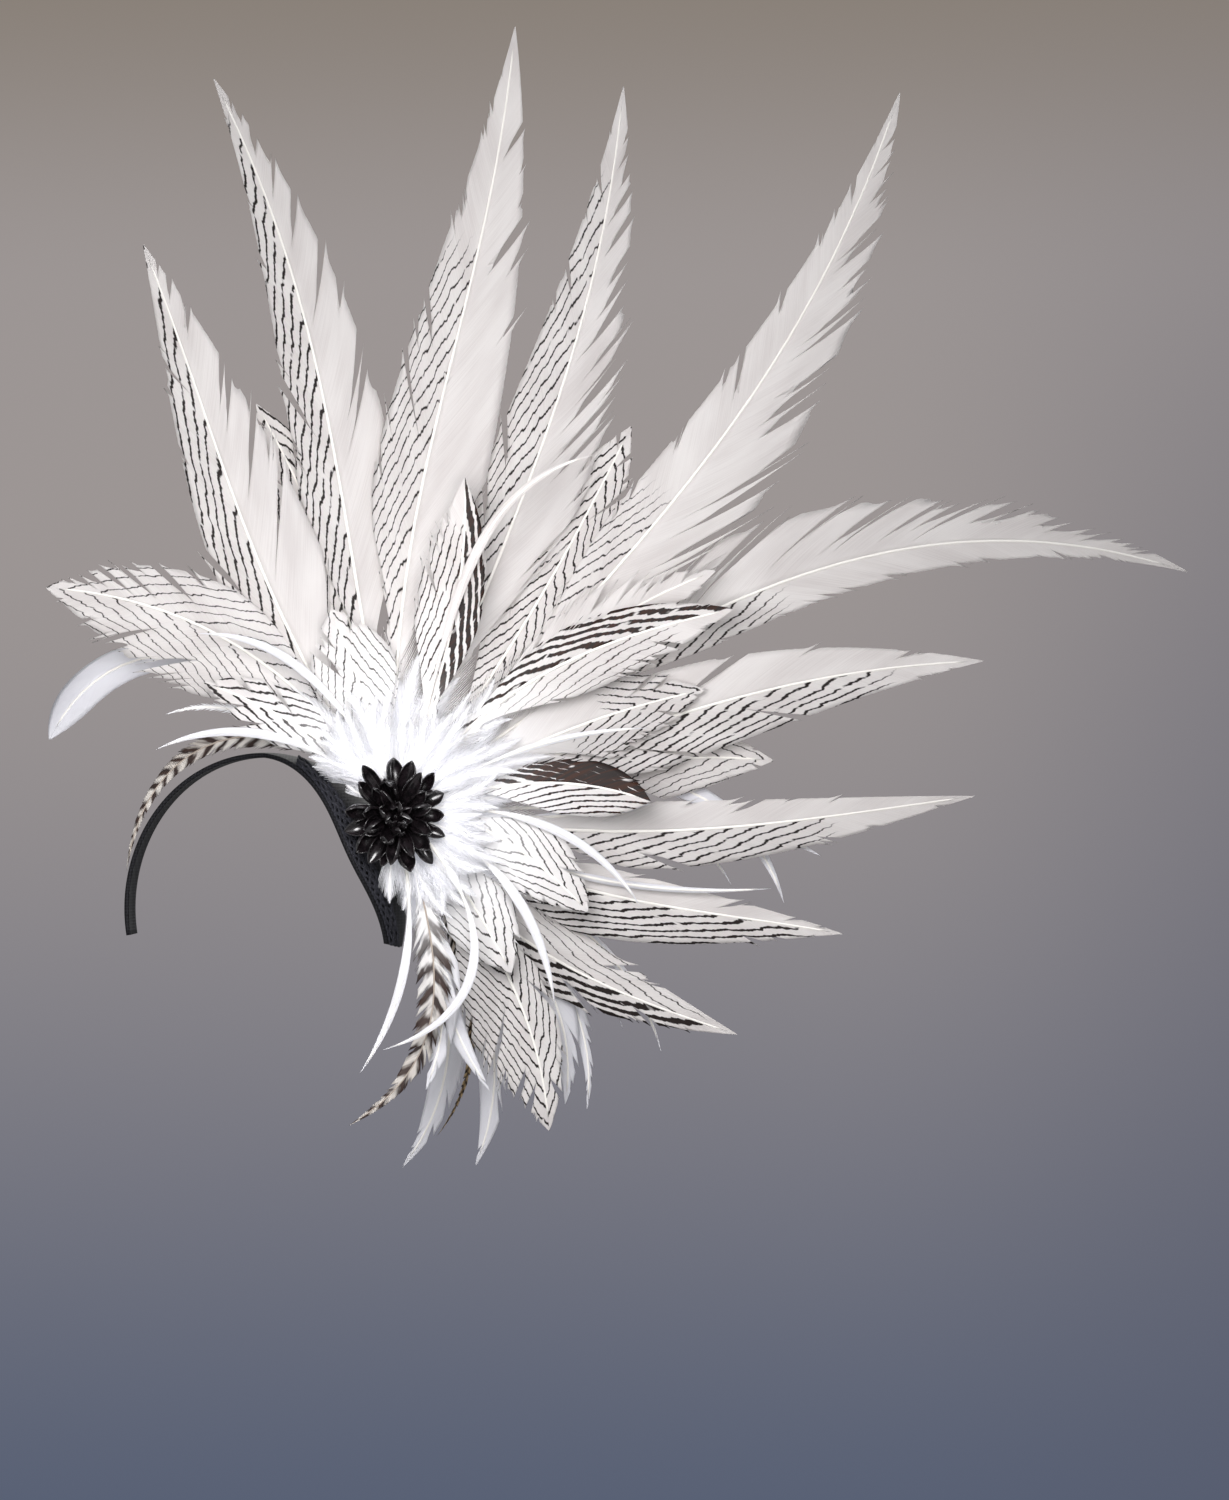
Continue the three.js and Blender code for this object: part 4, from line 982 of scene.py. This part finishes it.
def band_edges(across):
    """The band's rear and front edge in degrees forward, at this angle across."""
    middle = BAND_YAW * math.sin(math.radians(across))
    half = forward_degrees(BAND_WIDTH / 2)
    along = (across - FLARE_FROM) / (FLARE_TO - FLARE_FROM)
    flare = FLARE * math.sin(math.pi * along) if 0 < along < 1 else 0
    return middle - half, middle + half + flare


# %% Black cloth
def cloth_finish(name, dark, light, threads):
    paint = finish_named(name)
    warp, weft = [paint.node("ShaderNodeTexWave", {"wave_type": "BANDS", "bands_direction": way}, {
        "Vector": paint.place(), "Scale": threads, "Distortion": 1.5, "Detail": 1.0}) for way in ("X", "Z")]
    weave = warp * 0.5 + weft * 0.5
    lint = paint.noise(paint.place(), 420.0, 3.0)
    colour = paint.blend((weave * 0.7 + lint * 0.4).ramp(0.25, 0.9), dark, light)
    return paint.surface(paint.node("ShaderNodeBsdfPrincipled", {}, {
        "Base Color": colour, "Roughness": 0.7, "Normal": paint.bump(weave + lint * 0.5, 0.4, 0.3 * MM),
        "Specular IOR Level": 0.2}))


BLACK_CLOTH = cloth_finish("black_band_cloth", (0.004, 0.004, 0.005), (0.016, 0.016, 0.020), 180.0)
BLACK_CORD = cloth_finish("black_braid_cord", (0.008, 0.008, 0.011), (0.040, 0.041, 0.052), 420.0)

# %% The shell of the band
SHELL_SHARE = 0.96
bm = bmesh.new()


def band_rule(vert, u, v):
    across = blend(BAND_RIGHT_END, BAND_LEFT_END, u)
    rear, front = band_edges(across)
    return over_head(across, blend(rear, front, v), BAND_THICKNESS / 2)


laid_grid(bm, 96, 12, band_rule)
print("band faces before they get their thickness:", len(bm.faces))
piece("headband_shell", bm, BLACK_CLOTH, "headband", BAND_THICKNESS * SHELL_SHARE)

# %% [markdown]
# ## The braid
# Along the front edge of the flare runs an open black braid: thin cords cross each other in a herringbone,
# in two lanes, with small loops at both edges. A pattern on a flat strip would look printed, so the cords
# are real tubes. A grid is rolled round each cord's path, its seam is merged, and its ends draw in to
# points. Each cord swings from edge to edge of its lane and rises where it crosses over another.

# %% The braid's place
BRAID_WIDTH, BRAID_FROM = 14 * MM, 14
BRAID_SEAT = BAND_THICKNESS + 2 * SEAT_GAP
CORD_RADIUS, CORD_SIDES = 0.62 * MM, 6
HEAD_CENTRE = Vector((0, 0, -HEAD_HALF_HEIGHT))


def on_braid(step, across_share, off):
    """A point of the braid: degrees across, share of its width from the rear edge, metres off the band."""
    front = band_edges(step)[1]
    rear = front - forward_degrees(BRAID_WIDTH)
    return over_head(step, blend(rear, front, across_share), BRAID_SEAT + off)


def cord(bm, steps, path):
    """A closed round tube along path(u)."""
    knots = [path(i / steps) for i in range(steps + 1)]

    def rule(vert, u, v):
        i = round(u * steps)
        ahead = (knots[min(i + 1, steps)] - knots[max(i - 1, 0)]).normalized()
        outward = (knots[i] - HEAD_CENTRE).normalized()
        side = ahead.cross(outward).normalized()
        turn, thick = 2 * math.pi * v, CORD_RADIUS * (0 < i < steps)
        return knots[i] + (side * math.cos(turn) + side.cross(ahead) * math.sin(turn)) * thick

    bmesh.ops.remove_doubles(bm, verts=laid_grid(bm, steps, CORD_SIDES, rule), dist=WELD)


# %% Two plaited lanes
LANES = ((0.04, 0.50), (0.50, 0.96))
PLAIT_CORDS, PLAIT_TURN, CORD_STEPS = 5, 27.0, 480
bm = bmesh.new()
for rear_side, front_side in LANES:
    for strand in range(PLAIT_CORDS):
        for ply in (-1, 1):
            def plaited(u):
                step = blend(BRAID_FROM, BAND_LEFT_END, u)
                angle = 2 * math.pi * ((step - BRAID_FROM) / PLAIT_TURN + strand / PLAIT_CORDS)
                share = blend(rear_side, front_side, 0.5 + 0.5 * math.sin(angle))
                share += ply * CORD_RADIUS * 0.95 / BRAID_WIDTH * math.cos(angle) ** 2
                return on_braid(step, share, CORD_RADIUS * (2.2 + 1.3 * math.cos(angle * 2)) + 0.3 * MM)

            cord(bm, CORD_STEPS, plaited)

# %% Two looped edges
LOOP_TURN, LOOP_SWING, LOOP_OFF = 2.2, 0.35, 0.9 * MM
LOOPED_EDGES = ((0.02, -0.035), (0.98, 0.035))
for edge, bulge in LOOPED_EDGES:
    def looped(u):
        step = blend(BRAID_FROM, BAND_LEFT_END, u)
        angle = 2 * math.pi * (step - BRAID_FROM) / LOOP_TURN
        return on_braid(step + LOOP_SWING * math.sin(angle), edge + bulge * math.cos(angle), LOOP_OFF)

    cord(bm, CORD_STEPS, looped)
print("braid cords:", len(LANES) * PLAIT_CORDS * 2 + len(LOOPED_EDGES), "faces:", len(bm.faces))
piece("braid_trim_cords", bm, BLACK_CORD, "braid_trim")

# %% [markdown]
# ## What stays as the CAD model has it
# The core is hidden by the feathers from the front, and from behind it is a plain cloth-covered drum. A new
# piece would look the same, so its solid stays and only gets the band's cloth.

# %% The core
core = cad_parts["fan_core"]
core.data.materials.clear()
core.data.materials.append(BLACK_CLOTH)
print("core faces:", len(core.data.polygons))
